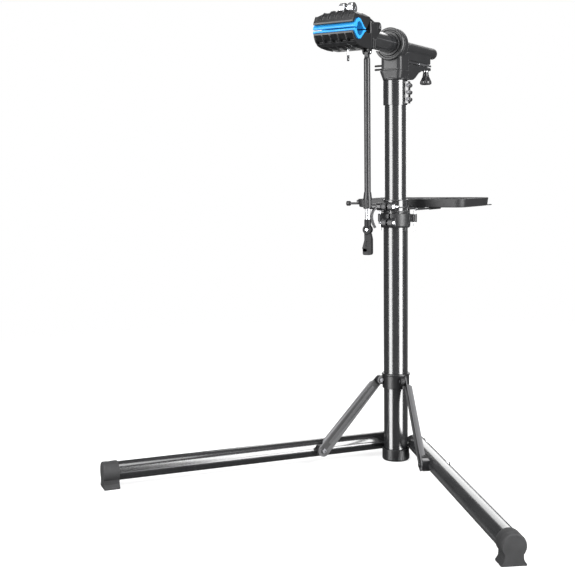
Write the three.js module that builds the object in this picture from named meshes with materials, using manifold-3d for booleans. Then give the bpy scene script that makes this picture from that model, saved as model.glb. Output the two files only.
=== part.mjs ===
// Folding work stand that holds a bicycle by its seat post, for repairs.
// Millimetres, +Z up. The origin is the centre of the post cap's bottom face, on the floor.
// The clamp arm points along -Y and the tool tray lies on the +Y side.
import * as THREE from 'three';
import { mergeVertices } from 'three/addons/utils/BufferGeometryUtils.js';
import Module from 'manifold-3d';

const wasm = await Module();
wasm.setup();

// ---------------------------------------------------------------- driving dimensions
const GAP = 0.3;                    // clearance between pieces that touch on the real stand
const SMALL = 16;                   // segments round screws and small bores
const MEDIUM = 28;                  // segments round bosses, knobs and thin rods
const LARGE = 44;                   // segments round the big tubes

const POST = { radius: 30.5, wall: 1.8, bottom: 8.3, top: 668 };
const CAP = { radius: 35, height: 30, floor: 8 };
const MAST = { radius: 27, wall: 2, bottom: 75, top: 974 };

const LEG = { halfAngle: 37.8, offset: 54, height: 38, radius: 22.5, wall: 1.8, start: 10, end: 722 };
const FOOT = { start: 713, end: 751, bore: 742, radius: 25, halfWidth: 25.5, waist: 19.5 };
const HINGE_BOLT = { radius: 4.5, head: 8, headLength: 6 };
const BRACE = { legPin: 196, postPin: 40, postPinHeight: 209, inner: 14, web: 2.5, outer: 27,
  halfWidth: 15, topRadius: 11.5, pinRadius: 4 };
const SLIDER = { radius: 36, bottom: 188, top: 226, lugInner: 2.5, lugOuter: 13.5 };

const HEIGHT_COLLAR = { radius: 34, bottom: 635, top: 667.5, boltY: -46, boltZ: 651 };
const TRAY_COLLAR = { radius: 37, bottom: 597, top: 634.4, boltY: -46, boltZ: 611 };
const TRAY = { halfWidth: 152, front: 75, back: 271, lip: 27, bottom: 645.3, top: 667, corner: 22, wall: 3 };
const TRAY_ROD = { x: 47, bottom: 589, height: 641.9, radius: 2.6 };

const AXIS_Z = 1048;                // height of the arm's axis with the mast right down
const SLEEVE = { radius: 30.5, bottom: 901, top: 961.5, flange: 43 };
const DISC = { radius: 39.5, front: -38, split: -28, back: -8 };
const BARREL = { radius: 14.5, bore: 11, end: 237 };
const ARM = { radius: 22.5, wall: 2, ringStart: 187, end: 211 };
const SPLIT = { start: 45, end: 197, top: -32, bottom: -40, halfWidth: 12 };
const LOCK = { y: 189, top: -48.3, bottom: -84, radius: 15.5, studRadius: 4, studTop: -21 };

const BODY = { back: 209, front: 236, halfWidth: 50, bottom: -33.5, top: 27 };
const JAW = { halfWidth: 50, pivotForward: 194, pivotHeight: 17, pinRadius: 4, pinStart: 27.5,
  seam: 3, seamGap: 1.5 };
const ROD = { forward: 252, radius: 3, camHeight: 55.5, bottom: -61, nutHeight: -20, nutRadius: 6.5 };
const CAM = { radius: 13.5, halfWidth: 17, forkHalf: 4.2, reach: 82 };
const HOLDER = { x: 34, forward: 225, pivotDrop: 41, tubeRadius: 7.4, collarRadius: 10.2, innerRadius: 6 };
const HOLDER_Z = { tubeTop: 996, tubeBottom: 691, collarBottom: 652, innerTop: 985, pivot: 604, hookEnd: 545 };

// ---------------------------------------------------------------- materials
const finish = (color, roughness, metalness) =>
  new THREE.MeshStandardMaterial({ color, roughness, metalness });
const MATERIAL = {
  paint: finish(0x2c2d30, 0.25, 0.6),
  casting: finish(0x3a3b3d, 0.55, 0.1),
  plastic: finish(0x1d1d1f, 0.5, 0.0),
  rubber: finish(0x2a2a2c, 0.8, 0.0),
  liner: finish(0x2a8fe6, 0.55, 0.0),
  bright: finish(0xd5d8dc, 0.2, 0.95),
  steel: finish(0x55575b, 0.45, 0.7),
};

// ---------------------------------------------------------------- solids
/** Closed three.js geometry as a manifold solid, turned right side out where it needs to be. */
function solid(geometry) {
  const bare = geometry.index ? geometry.toNonIndexed() : geometry.clone();
  bare.deleteAttribute('normal');
  bare.deleteAttribute('uv');
  const merged = mergeVertices(bare, 1e-4);
  const vertProperties = new Float32Array(merged.attributes.position.array);
  const triVerts = new Uint32Array(merged.index.array);
  const corner = (k) => new THREE.Vector3().fromArray(vertProperties, triVerts[k] * 3);
  let volume = 0;
  for (let k = 0; k < triVerts.length; k += 3) {
    volume += corner(k).dot(corner(k + 1).cross(corner(k + 2)));
  }
  if (volume < 0) {
    for (let k = 0; k < triVerts.length; k += 3) {
      [triVerts[k + 1], triVerts[k + 2]] = [triVerts[k + 2], triVerts[k + 1]];
    }
  }
  return new wasm.Manifold(new wasm.Mesh({ numProp: 3, vertProperties, triVerts }));
}

/** Manifold solid back as a geometry. */
function geometryOf(body) {
  const mesh = body.getMesh();
  const geometry = new THREE.BufferGeometry();
  geometry.setAttribute('position', new THREE.BufferAttribute(mesh.vertProperties, 3));
  geometry.setIndex(new THREE.BufferAttribute(mesh.triVerts, 1));
  geometry.computeVertexNormals();
  return geometry;
}

const union = (...bodies) => bodies.reduce((whole, body) => whole.add(body));
const cut = (body, ...tools) => tools.reduce((whole, tool) => whole.subtract(tool), body);

/** Places a geometry's own +Z along the axis 'x', 'y' or 'z' and moves it to the point. */
function along(geometry, axis, point = [0, 0, 0]) {
  if (axis === 'x') geometry.rotateY(Math.PI / 2);
  if (axis === 'y') geometry.rotateX(-Math.PI / 2);
  geometry.translate(...point);
  return solid(geometry);
}

/** Solid of revolution about +Z from [radius, z] points; a loop that is open on the axis is closed. */
function turned(profile, segments, axis = 'z', point = [0, 0, 0]) {
  const onAxis = profile[0][0] === 0 && profile.at(-1)[0] === 0;
  const points = onAxis ? profile : [...profile, profile[0]];
  const geometry = new THREE.LatheGeometry(points.map(([r, z]) => new THREE.Vector2(r, z)), segments);
  geometry.rotateX(Math.PI / 2);
  return along(geometry, axis, point);
}

const rod = (radius, from, to, segments, axis, point) =>
  turned([[0, from], [radius, from], [radius, to], [0, to]], segments, axis, point);
const tube = (outer, inner, from, to, segments, axis, point) =>
  turned([[inner, from], [outer, from], [outer, to], [inner, to]], segments, axis, point);

/** Box between two corners. */
function block(low, high) {
  const size = high.map((value, k) => value - low[k]);
  const middle = high.map((value, k) => (value + low[k]) / 2);
  const geometry = new THREE.BoxGeometry(...size);
  geometry.translate(...middle);
  return solid(geometry);
}

/** Flat outline in the XY plane, extruded from one height to another. */
function plate(shape, from, to, curveSegments = 6) {
  const geometry = new THREE.ExtrudeGeometry(shape, { depth: to - from, bevelEnabled: false, curveSegments });
  geometry.translate(0, 0, from);
  return solid(geometry);
}

/** Side outline in [forward, height] points, extruded across X between two values. */
function sideSlab(outline, xFrom, xTo, curveSegments = 6) {
  const shape = outline instanceof THREE.Shape ? outline
    : new THREE.Shape(outline.map(([forward, height]) => new THREE.Vector2(forward, height)));
  const geometry = new THREE.ExtrudeGeometry(shape,
    { depth: xTo - xFrom, bevelEnabled: false, curveSegments });
  const turn = new THREE.Matrix4().makeBasis(
    new THREE.Vector3(0, -1, 0), new THREE.Vector3(0, 0, 1), new THREE.Vector3(-1, 0, 0));
  geometry.applyMatrix4(turn);
  geometry.translate(xTo, 0, 0);
  return solid(geometry);
}

/** Rectangle with rounded corners. */
function roundedRectangle(x0, y0, x1, y1, r) {
  const shape = new THREE.Shape();
  shape.moveTo(x0 + r, y0);
  shape.lineTo(x1 - r, y0);
  shape.absarc(x1 - r, y0 + r, r, -Math.PI / 2, 0);
  shape.lineTo(x1, y1 - r);
  shape.absarc(x1 - r, y1 - r, r, 0, Math.PI / 2);
  shape.lineTo(x0 + r, y1);
  shape.absarc(x0 + r, y1 - r, r, Math.PI / 2, Math.PI);
  shape.lineTo(x0, y0 + r);
  shape.absarc(x0 + r, y0 + r, r, Math.PI, 1.5 * Math.PI);
  return shape;
}

/** Round bar swept along a smooth curve through the points. */
function bentRod(points, radius, steps, sides) {
  const curve = new THREE.CatmullRomCurve3(points.map((p) => new THREE.Vector3(...p)), false, 'centripetal');
  const section = new THREE.Shape();
  for (let k = 0; k < sides; k += 1) {
    const angle = (2 * Math.PI * k) / sides;
    const place = k === 0 ? 'moveTo' : 'lineTo';
    section[place](radius * Math.cos(angle), radius * Math.sin(angle));
  }
  return solid(new THREE.ExtrudeGeometry(section, { steps, bevelEnabled: false, extrudePath: curve }));
}

/** Hexagonal head or nut along an axis. */
const hexagon = (acrossCorners, from, to, axis, point) =>
  rod(acrossCorners / 2, from, to, 6, axis, point);

const stand = new THREE.Group();

/** Adds a named piece to a group. */
function piece(group, name, material, body) {
  const mesh = new THREE.Mesh(geometryOf(body), material);
  mesh.name = name;
  group.add(mesh);
}

// ---------------------------------------------------------------- legs and braces
const radians = (degrees) => (degrees * Math.PI) / 180;

/** Group whose +X runs out along one leg and whose Y is across it, seen from above. */
function legGroup(side) {
  const group = new THREE.Group();
  group.rotation.z = side > 0 ? radians(LEG.halfAngle - 90) : radians(-90 - LEG.halfAngle);
  stand.add(group);
  return group;
}

/** Rod across a leg, from one distance out of the post's axis to another. */
function across(radius, from, to, segments, side, x, z) {
  const [near, far] = side > 0 ? [from, to] : [-to, -from];
  return rod(radius, near, far, segments, 'y', [x, 0, z]);
}

/** Outline of the foot seen from its front: a round socket on a flared sole. */
function footOutline() {
  const shape = new THREE.Shape();
  const waistHeight = 13;
  const join = Math.PI + 0.78;
  shape.moveTo(-FOOT.halfWidth, 0);
  shape.lineTo(FOOT.halfWidth, 0);
  shape.lineTo(FOOT.halfWidth, 3);
  shape.quadraticCurveTo(FOOT.waist, 6, FOOT.waist, waistHeight);
  shape.absarc(0, LEG.height, FOOT.radius, -join + Math.PI, join);
  shape.lineTo(-FOOT.waist, waistHeight);
  shape.quadraticCurveTo(-FOOT.waist, 6, -FOOT.halfWidth, 3);
  return shape;
}

function addLeg(side, name) {
  const group = legGroup(side);
  const y = side * LEG.offset;
  const z = LEG.height;
  const legTube = tube(LEG.radius, LEG.radius - LEG.wall, LEG.start, LEG.end, LARGE, 'x', [0, y, z]);
  const pinHole = across(BRACE.pinRadius + GAP, 20, 90, SMALL, side, BRACE.legPin, z);
  piece(group, `${name}_leg_tube`, MATERIAL.paint, cut(legTube, pinHole));

  const insert = rod(LEG.radius - LEG.wall - GAP, LEG.start - 2, 42, MEDIUM, 'x', [0, y, z]);
  const roundEnd = across(LEG.radius, 20, 90, LARGE, side, 0, z)
    .intersect(rod(LEG.radius, -LEG.radius, LEG.start - GAP, LARGE, 'x', [0, y, z]));
  const square = rod(LEG.radius, 0, LEG.start - GAP, LARGE, 'x', [0, y, z]);
  const hingeHole = across(HINGE_BOLT.radius + GAP, 20, 90, SMALL, side, 0, z);
  piece(group, `${name}_leg_plug`, MATERIAL.plastic, cut(union(roundEnd, square, insert), hingeHole));

  const shoe = new THREE.ExtrudeGeometry(footOutline(),
    { depth: FOOT.end - FOOT.start, bevelEnabled: false, curveSegments: 14 });
  shoe.rotateX(Math.PI / 2);
  shoe.rotateZ(Math.PI / 2);
  shoe.translate(FOOT.start, y, 0);
  const socket = rod(LEG.radius + GAP, FOOT.start - 5, FOOT.bore, LARGE, 'x', [0, y, z]);
  piece(group, `${name}_foot`, MATERIAL.rubber, cut(solid(shoe), socket));

  const outside = LEG.offset + LEG.radius + GAP;
  const bolt = union(
    across(HINGE_BOLT.radius, 16, outside + 3, SMALL, side, 0, z),
    across(HINGE_BOLT.head, outside, outside + HINGE_BOLT.headLength, 6, side, 0, z));
  piece(group, `${name}_hinge_bolt`, MATERIAL.bright, bolt);

  const pin = union(
    across(BRACE.pinRadius, 11, outside + 11, SMALL, side, BRACE.legPin, z),
    across(8, 10.2, BRACE.inner - GAP, SMALL, side, BRACE.legPin, z));
  piece(group, `${name}_brace_bolt`, MATERIAL.bright, pin);
  const pinNut = cut(across(7.5, outside, outside + 6.5, 6, side, BRACE.legPin, z),
    across(BRACE.pinRadius + GAP, 70, 100, SMALL, side, BRACE.legPin, z));
  piece(group, `${name}_brace_nut`, MATERIAL.bright, pinNut);

  const saddleInner = BRACE.inner + BRACE.web + GAP;
  const saddleOuter = LEG.offset - 15;
  const [low, high] = side > 0 ? [saddleInner, saddleOuter] : [-saddleOuter, -saddleInner];
  const saddle = cut(block([BRACE.legPin - 14, low, z - 15], [BRACE.legPin + 14, high, z + 15]),
    rod(LEG.radius + GAP, 100, 300, LARGE, 'x', [0, y, z]), pinHole,
    across(BRACE.pinRadius + GAP, 5, 60, SMALL, side, BRACE.legPin, z));
  piece(group, `${name}_brace_spacer`, MATERIAL.plastic, saddle);
}

/** Brace: a pressed channel with round flat ends, from the leg's bolt up to the sliding collar. */
function addBrace(side, name) {
  const group = legGroup(side);
  const reach = BRACE.postPin - BRACE.legPin;
  const rise = BRACE.postPinHeight - LEG.height;
  const length = Math.hypot(reach, rise);
  const outline = new THREE.Shape();
  const lean = Math.asin((BRACE.halfWidth - BRACE.topRadius) / length);
  outline.absarc(0, 0, BRACE.halfWidth, Math.PI / 2 - lean, 1.5 * Math.PI + lean);
  outline.absarc(length, 0, BRACE.topRadius, -Math.PI / 2 + lean, Math.PI / 2 - lean);
  const web = plate(outline, BRACE.inner, BRACE.inner + BRACE.web, 16);
  const flangeEdge = BRACE.topRadius + 0.9;
  const flange = (sign) => block(
    [22, sign > 0 ? flangeEdge - 2.5 : -flangeEdge, BRACE.inner + 0.5],
    [length - 22, sign > 0 ? flangeEdge : -flangeEdge + 2.5, BRACE.outer]);
  let body = union(web, flange(1), flange(-1));
  body = cut(body, rod(BRACE.pinRadius + GAP, 5, 40, SMALL, 'z', [0, 0, 0]));
  const upright = new THREE.Matrix4().makeBasis(
    new THREE.Vector3(reach / length, 0, rise / length),
    new THREE.Vector3(-rise / length, 0, reach / length).multiplyScalar(side > 0 ? 1 : -1),
    new THREE.Vector3(0, side > 0 ? 1 : -1, 0));
  upright.setPosition(BRACE.legPin, 0, LEG.height);
  const geometry = geometryOf(body);
  geometry.applyMatrix4(upright);
  piece(group, `${name}_brace`, MATERIAL.steel, solid(geometry));
}

/** Collar that slides on the post, with a lug and a notch for the top of each brace. */
function addSlider() {
  const { radius, bottom, top, lugInner, lugOuter } = SLIDER;
  const pinAt = [BRACE.postPin, 0, BRACE.postPinHeight];
  let collar = turned([[POST.radius + GAP, bottom], [radius - 1.5, bottom], [radius - 1.5, top - 5],
    [radius, top - 4], [radius, top], [POST.radius + GAP, top]], LARGE);
  for (const side of [1, -1]) {
    const span = (inner, outer) => (side > 0 ? [inner, outer] : [-outer, -inner]);
    const turn = [0, 0, side > 0 ? LEG.halfAngle - 90 : -90 - LEG.halfAngle];
    const [near, far] = span(lugInner, lugOuter);
    const [notchNear, notchFar] = span(lugOuter, 50);
    const notch = block([24, notchNear, bottom - 5], [60, notchFar, top - 5]);
    const lug = union(rod(11, near, far, MEDIUM, 'y', pinAt),
      block([POST.radius - 1.5, near, BRACE.postPinHeight - 11], [BRACE.postPin, far, BRACE.postPinHeight + 11]));
    const hole = rod(3.2 + GAP, near - 5, far + 5, SMALL, 'y', pinAt);
    collar = union(cut(collar, notch.rotate(turn)), cut(lug, hole).rotate(turn));
    const pin = union(across(3.2, lugInner - 3, lugOuter, SMALL, side, pinAt[0], pinAt[2]),
      across(5.5, lugInner - 3, lugInner - GAP, SMALL, side, pinAt[0], pinAt[2]));
    piece(legGroup(side), `${side > 0 ? 'right' : 'left'}_slider_pin`, MATERIAL.bright, pin);
  }
  collar = cut(collar, rod(POST.radius + GAP, bottom - 5, top + 5, LARGE));
  piece(stand, 'brace_slider', MATERIAL.plastic, collar);
}

// ---------------------------------------------------------------- post, collars and tray
function addPost() {
  let cap = turned([[0, 0], [CAP.radius - 2, 0], [CAP.radius, 3], [CAP.radius, CAP.height],
    [POST.radius + GAP, CAP.height], [POST.radius + GAP, CAP.floor], [0, CAP.floor]], LARGE);
  let post = tube(POST.radius, POST.radius - POST.wall, POST.bottom, POST.top, LARGE);
  for (const side of [1, -1]) {
    const angle = side > 0 ? LEG.halfAngle - 90 : -90 - LEG.halfAngle;
    const bore = across(HINGE_BOLT.radius + GAP, 10, 40, SMALL, side, 0, LEG.height);
    const flat = across(LEG.radius + 1.5, LEG.offset - LEG.radius - GAP, 60, LARGE, side, 0, LEG.height);
    const channel = block([0, side > 0 ? 31.2 : -60, LEG.height - LEG.radius - 1.5],
      [60, side > 0 ? 60 : -31.2, 60]);
    post = cut(post, bore.rotate([0, 0, angle]));
    cap = cut(cap, flat.rotate([0, 0, angle]), channel.rotate([0, 0, angle]));
  }
  piece(stand, 'post_cap', MATERIAL.plastic, cap);
  piece(stand, 'lower_tube', MATERIAL.paint, post);
  const bush = tube(POST.radius - POST.wall - GAP, MAST.radius + GAP, POST.top - 60, POST.top, LARGE);
  piece(stand, 'post_bush', MATERIAL.plastic, bush);
}

/** Split clamping ring round the lower tube with two ears in front, and its cross bolt's bore. */
function splitCollar(collar) {
  const { radius, bottom, top, boltY, boltZ } = collar;
  const ring = turned([[POST.radius + GAP, bottom], [radius - 2.5, bottom], [radius, bottom + 5],
    [radius, top - 2], [radius - 1.5, top], [POST.radius + GAP, top]], LARGE);
  const ears = block([-15, boltY - 9, boltZ - 9], [15, -25, boltZ + 9]);
  const slit = block([-2.2, boltY - 20, bottom - 5], [2.2, -20, top + 5]);
  const bore = rod(3.3, -40, 40, SMALL, 'x', [0, boltY, boltZ]);
  return cut(union(ring, ears), slit, bore, rod(POST.radius + GAP, bottom - 9, top + 9, LARGE));
}

function addCollars() {
  piece(stand, 'height_collar', MATERIAL.casting, splitCollar(HEIGHT_COLLAR));
  const { boltY: y, boltZ: z } = HEIGHT_COLLAR;
  const skewer = union(rod(2.8, -37, 30, SMALL, 'x', [0, y, z]), rod(6.2, -37, -29, MEDIUM, 'x', [0, y, z]));
  piece(stand, 'height_skewer', MATERIAL.bright, skewer);
  piece(stand, 'height_nut', MATERIAL.bright,
    cut(hexagon(15, 15 + GAP, 22, 'x', [0, y, z]), rod(3.1, 0, 40, SMALL, 'x', [0, y, z])));
  const hub = cut(rod(9.5, -28.7, -15 - GAP, MEDIUM, 'x', [0, y, z]), rod(3.1, -60, 0, SMALL, 'x', [0, y, z]));
  const handle = bentRod([[-25, y - 4, z + 1], [-31, y - 13, z - 6], [-36, y - 17, z - 22],
    [-31, y - 18, z - 42], [-24, y - 18, z - 55]], 4.6, 12, 10);
  const lever = cut(union(hub, handle), rod(3.1, -60, 0, SMALL, 'x', [0, y, z]),
    rod(6.6, -60, -28.7, SMALL, 'x', [0, y, z]));
  piece(stand, 'height_lever', MATERIAL.plastic, lever);

  const ring = splitCollar(TRAY_COLLAR);
  const bossZ = [TRAY_COLLAR.bottom + 14, TRAY_COLLAR.top - 3];
  const bosses = [1, -1].map((side) => union(
    rod(6.5, bossZ[0], bossZ[1], MEDIUM, 'z', [side * TRAY_ROD.x, 10, 0]),
    block([side > 0 ? 33 : -TRAY_ROD.x, 5, bossZ[0]], [side > 0 ? TRAY_ROD.x : -33, 15, bossZ[1]])));
  const tongue = block([-17, 30, TRAY_COLLAR.top - 14], [17, 50, TRAY_COLLAR.top]);
  let body = union(ring, ...bosses, tongue);
  body = cut(body, rod(POST.radius + GAP, TRAY_COLLAR.bottom - 9, TRAY_COLLAR.top + 9, LARGE),
    ...[1, -1].map((side) => rod(TRAY_ROD.radius + GAP, 500, 700, SMALL, 'z', [side * TRAY_ROD.x, 10, 0])));
  piece(stand, 'tray_collar', MATERIAL.casting, body);
  const { boltY, boltZ } = TRAY_COLLAR;
  piece(stand, 'tray_bolt', MATERIAL.bright, union(rod(3, -24, 15 + GAP, SMALL, 'x', [0, boltY, boltZ]),
    rod(6, 15 + GAP, 20, MEDIUM, 'x', [0, boltY, boltZ])));
}

function addTray() {
  const { halfWidth, front, back, lip, bottom, top, corner, wall } = TRAY;
  const well = (x0, y0, x1, y1, r) =>
    plate(roundedRectangle(x0, y0, x1, y1, r), bottom + wall, top + 5, 5);
  const outer = plate(roundedRectangle(-halfWidth, front, halfWidth, back, corner), bottom, top, 7);
  const holes = [];
  for (let x = -108; x <= 108; x += 24) {
    holes.push(rod(5, bottom - 5, top + 5, SMALL, 'z', [x, back + 14, 0]));
  }
  const shelf = cut(plate(roundedRectangle(-halfWidth, back - 40, halfWidth, back + lip, corner),
    bottom, bottom + wall, 7), ...holes);
  const dish = turned([[25, bottom + wall], [34, bottom + wall], [34, bottom + 12], [31, bottom + 14],
    [28, bottom + 12], [28, bottom + wall + 3], [25, bottom + wall + 3]], MEDIUM, 'z', [88, 124, 0]);
  let body = cut(outer,
    well(-halfWidth + 6, front + 6, 36, 170, 14),
    well(44, front + 6, halfWidth - 6, 170, 14),
    well(-halfWidth + 6, 178, halfWidth - 6, back - 6, 10));
  const knob = union(rod(3, -halfWidth - 24, -halfWidth + 3, SMALL, 'x', [0, 88, top - 12]),
    rod(6.5, -halfWidth - 32, -halfWidth - 22, MEDIUM, 'x', [0, 88, top - 12]));
  body = union(body, dish.trimByPlane([0, 0, 1], bottom + wall - 1), shelf, knob);
  const hook = (y) => cut(block([-halfWidth - 10, y - 9, top - 9], [-halfWidth + 3, y + 9, top - 3]),
    block([-halfWidth - 12, y - 3.5, top - 12], [-halfWidth - 3, y + 3.5, top]));
  body = union(body, hook(110), hook(150), hook(215));
  piece(stand, 'tool_tray', MATERIAL.plastic, body);

  const carrier = union(block([-15, 50 + GAP, TRAY_COLLAR.top - 14], [15, 55, TRAY.bottom - GAP]),
    block([-15, 50 + GAP, TRAY.bottom - 5], [15, 150, TRAY.bottom - GAP]));
  piece(stand, 'tray_bracket', MATERIAL.steel, carrier);
  for (const side of [1, -1]) {
    const x = side * TRAY_ROD.x;
    const z = TRAY_ROD.height;
    const wire = bentRod([[x, 10, TRAY_ROD.bottom], [x, 10, z - 18], [x, 10.6, z - 9], [x, 15, z - 1.5],
      [x, 24, z], [x, 40, z], [x, 150, z]], TRAY_ROD.radius, 22, 8);
    piece(stand, `${side > 0 ? 'right' : 'left'}_tray_rod`, MATERIAL.bright, wire);
  }
}

// ---------------------------------------------------------------- mast and head
function addMast() {
  piece(stand, 'upper_tube', MATERIAL.paint,
    tube(MAST.radius, MAST.radius - MAST.wall, MAST.bottom, MAST.top, LARGE));
  const { radius, bottom, top, flange } = SLEEVE;
  const grip = MAST.radius + GAP;
  const wings = block([25, -8, bottom + 3], [flange, 8, top - 3]);
  const slit = block([20, -2, bottom - 5], [flange + 5, 2, top + 5]);
  const boltHeights = [bottom + 13, (bottom + top) / 2, top - 13];
  const bores = boltHeights.map((z) => rod(2.8, -20, 20, SMALL, 'y', [37.5, 0, z]));
  const sleeve = cut(union(tube(radius, grip, bottom, top, LARGE), wings), slit, ...bores,
    rod(grip, bottom - 5, top + 5, LARGE));
  piece(stand, 'head_sleeve', MATERIAL.paint, sleeve);
  boltHeights.forEach((z, k) => {
    const bolt = union(rod(2.5, -8 - GAP, 10, SMALL, 'y', [37.5, 0, z]),
      rod(4.6, -12.5, -8 - GAP, MEDIUM, 'y', [37.5, 0, z]));
    piece(stand, `sleeve_bolt_${k + 1}`, MATERIAL.bright, bolt);
  });
}

/** Slab with a side outline in [y, height above the arm's axis] points, between two X values. */
const headSlab = (outline, halfWidth) =>
  sideSlab(outline.map(([y, h]) => [-y, AXIS_Z + h]), -halfWidth, halfWidth);

function addHead() {
  const seam = 985;
  const bowl = union(plate(roundedRectangle(-30.5, -30.5, 30.5, 30.5, 28), SLEEVE.top + GAP, 969, 6),
    plate(roundedRectangle(-31, -35, 31, 27, 10), 968, seam, 4));
  const neck = plate(roundedRectangle(-29, -27.7, 29, 26, 9), seam - 1, AXIS_Z - 22, 4);
  const disc = rod(DISC.radius, DISC.split + GAP, DISC.back, LARGE, 'y', [0, 0, AXIS_Z]);
  const cone = turned([[0, DISC.back - 1], [34, DISC.back - 1], [19, 34], [0, 34]], LARGE, 'y', [0, 0, AXIS_Z]);
  const barrel = turned([[0, -10], [BARREL.radius, -10], [BARREL.radius, BARREL.end - 8],
    [BARREL.radius - 2.5, BARREL.end - 2.5], [BARREL.radius - 8, BARREL.end], [0, BARREL.end]],
  LARGE, 'y', [0, 0, AXIS_Z]);
  const { start, end, top, bottom, halfWidth } = SPLIT;
  const upper = headSlab([[10, -5], [end, -5], [end, top], [10, top]], halfWidth - 1.5);
  const lower = headSlab([[5, bottom], [end, bottom], [end, bottom - 8], [166, bottom - 8], [142, bottom - 12],
    [118, bottom - 20], [98, bottom - 33], [84, bottom - 39], [60, bottom - 41], [5, bottom - 41]], halfWidth);
  const web = headSlab([[5, top + 1], [start, top + 1], [start, bottom - 1], [5, bottom - 1]], halfWidth);
  let body = union(bowl, neck, disc, cone, barrel, upper, lower, web);
  body = cut(body,
    rod(BARREL.bore, -60, 205, LARGE, 'y', [0, 0, AXIS_Z]),
    rod(MAST.radius + GAP, 800, MAST.top + GAP, LARGE),
    rod(LOCK.studRadius + GAP, AXIS_Z - 90, AXIS_Z + LOCK.studTop + 1, SMALL, 'z', [0, LOCK.y, 0]),
    ...[990, 999].map((z) => rod(3, -60, -18, SMALL, 'x', [0, -12, z])));
  piece(stand, 'head_casting', MATERIAL.casting, body);
  [990, 999].forEach((z, k) => {
    piece(stand, `neck_screw_${k + 1}`, MATERIAL.steel, rod(2.7, -51, -18.5, SMALL, 'x', [0, -12, z]));
  });
  const stud = union(
    turned([[0, LOCK.bottom + 5], [LOCK.radius - 2.5, LOCK.bottom], [LOCK.radius, LOCK.bottom + 3],
      [LOCK.radius - 0.5, LOCK.bottom + 9], [9.5, LOCK.bottom + 20], [7.2, LOCK.top - 4], [7.2, LOCK.top],
      [0, LOCK.top]], MEDIUM, 'z', [0, LOCK.y, AXIS_Z]),
    rod(LOCK.studRadius, LOCK.top - 3, LOCK.studTop, SMALL, 'z', [0, LOCK.y, AXIS_Z]));
  piece(stand, 'lock_knob', MATERIAL.plastic, stud);
}

// ---------------------------------------------------------------- arm and clamp
/** Side outline in [forward, height above the arm's axis] points, as a slab between two X values. */
const armSlab = (outline, xFrom, xTo) =>
  sideSlab(outline.map(([forward, h]) => [forward, AXIS_Z + h]), xFrom, xTo);
const crossRod = (radius, from, to, segments, forward, h) =>
  rod(radius, from, to, segments, 'x', [0, -forward, AXIS_Z + h]);

function addArm() {
  const dial = turned([[0, DISC.split], [DISC.radius - 1, DISC.split], [DISC.radius, DISC.split - 1.5],
    [DISC.radius, DISC.front + 2], [DISC.radius - 2, DISC.front], [33, DISC.front], [32, DISC.front + 2],
    [29, DISC.front + 2], [28, DISC.front - 3], [ARM.radius + GAP, DISC.front - 3],
    [ARM.radius + GAP, DISC.front + 1], [ARM.radius - ARM.wall - GAP, DISC.front + 1],
    [ARM.radius - ARM.wall - GAP, DISC.front - 24], [0, DISC.front - 24]].reverse(), LARGE, 'y', [0, 0, AXIS_Z]);
  const shaft = rod(BARREL.bore - GAP, DISC.split - 1, 203, MEDIUM, 'y', [0, 0, AXIS_Z]);
  piece(stand, 'arm_dial', MATERIAL.casting, union(dial, shaft));
  piece(stand, 'arm_tube', MATERIAL.paint, tube(ARM.radius, ARM.radius - ARM.wall,
    -ARM.end, DISC.front + 1 - GAP, LARGE, 'y', [0, 0, AXIS_Z]));
}

/** Bores for the two jaw pins, from a distance out of the middle. */
const jawBores = (from) => [[from, 70], [-70, -from]].map(([low, high]) =>
  crossRod(JAW.pinRadius + GAP, low, high, SMALL, JAW.pivotForward, JAW.pivotHeight));

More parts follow.
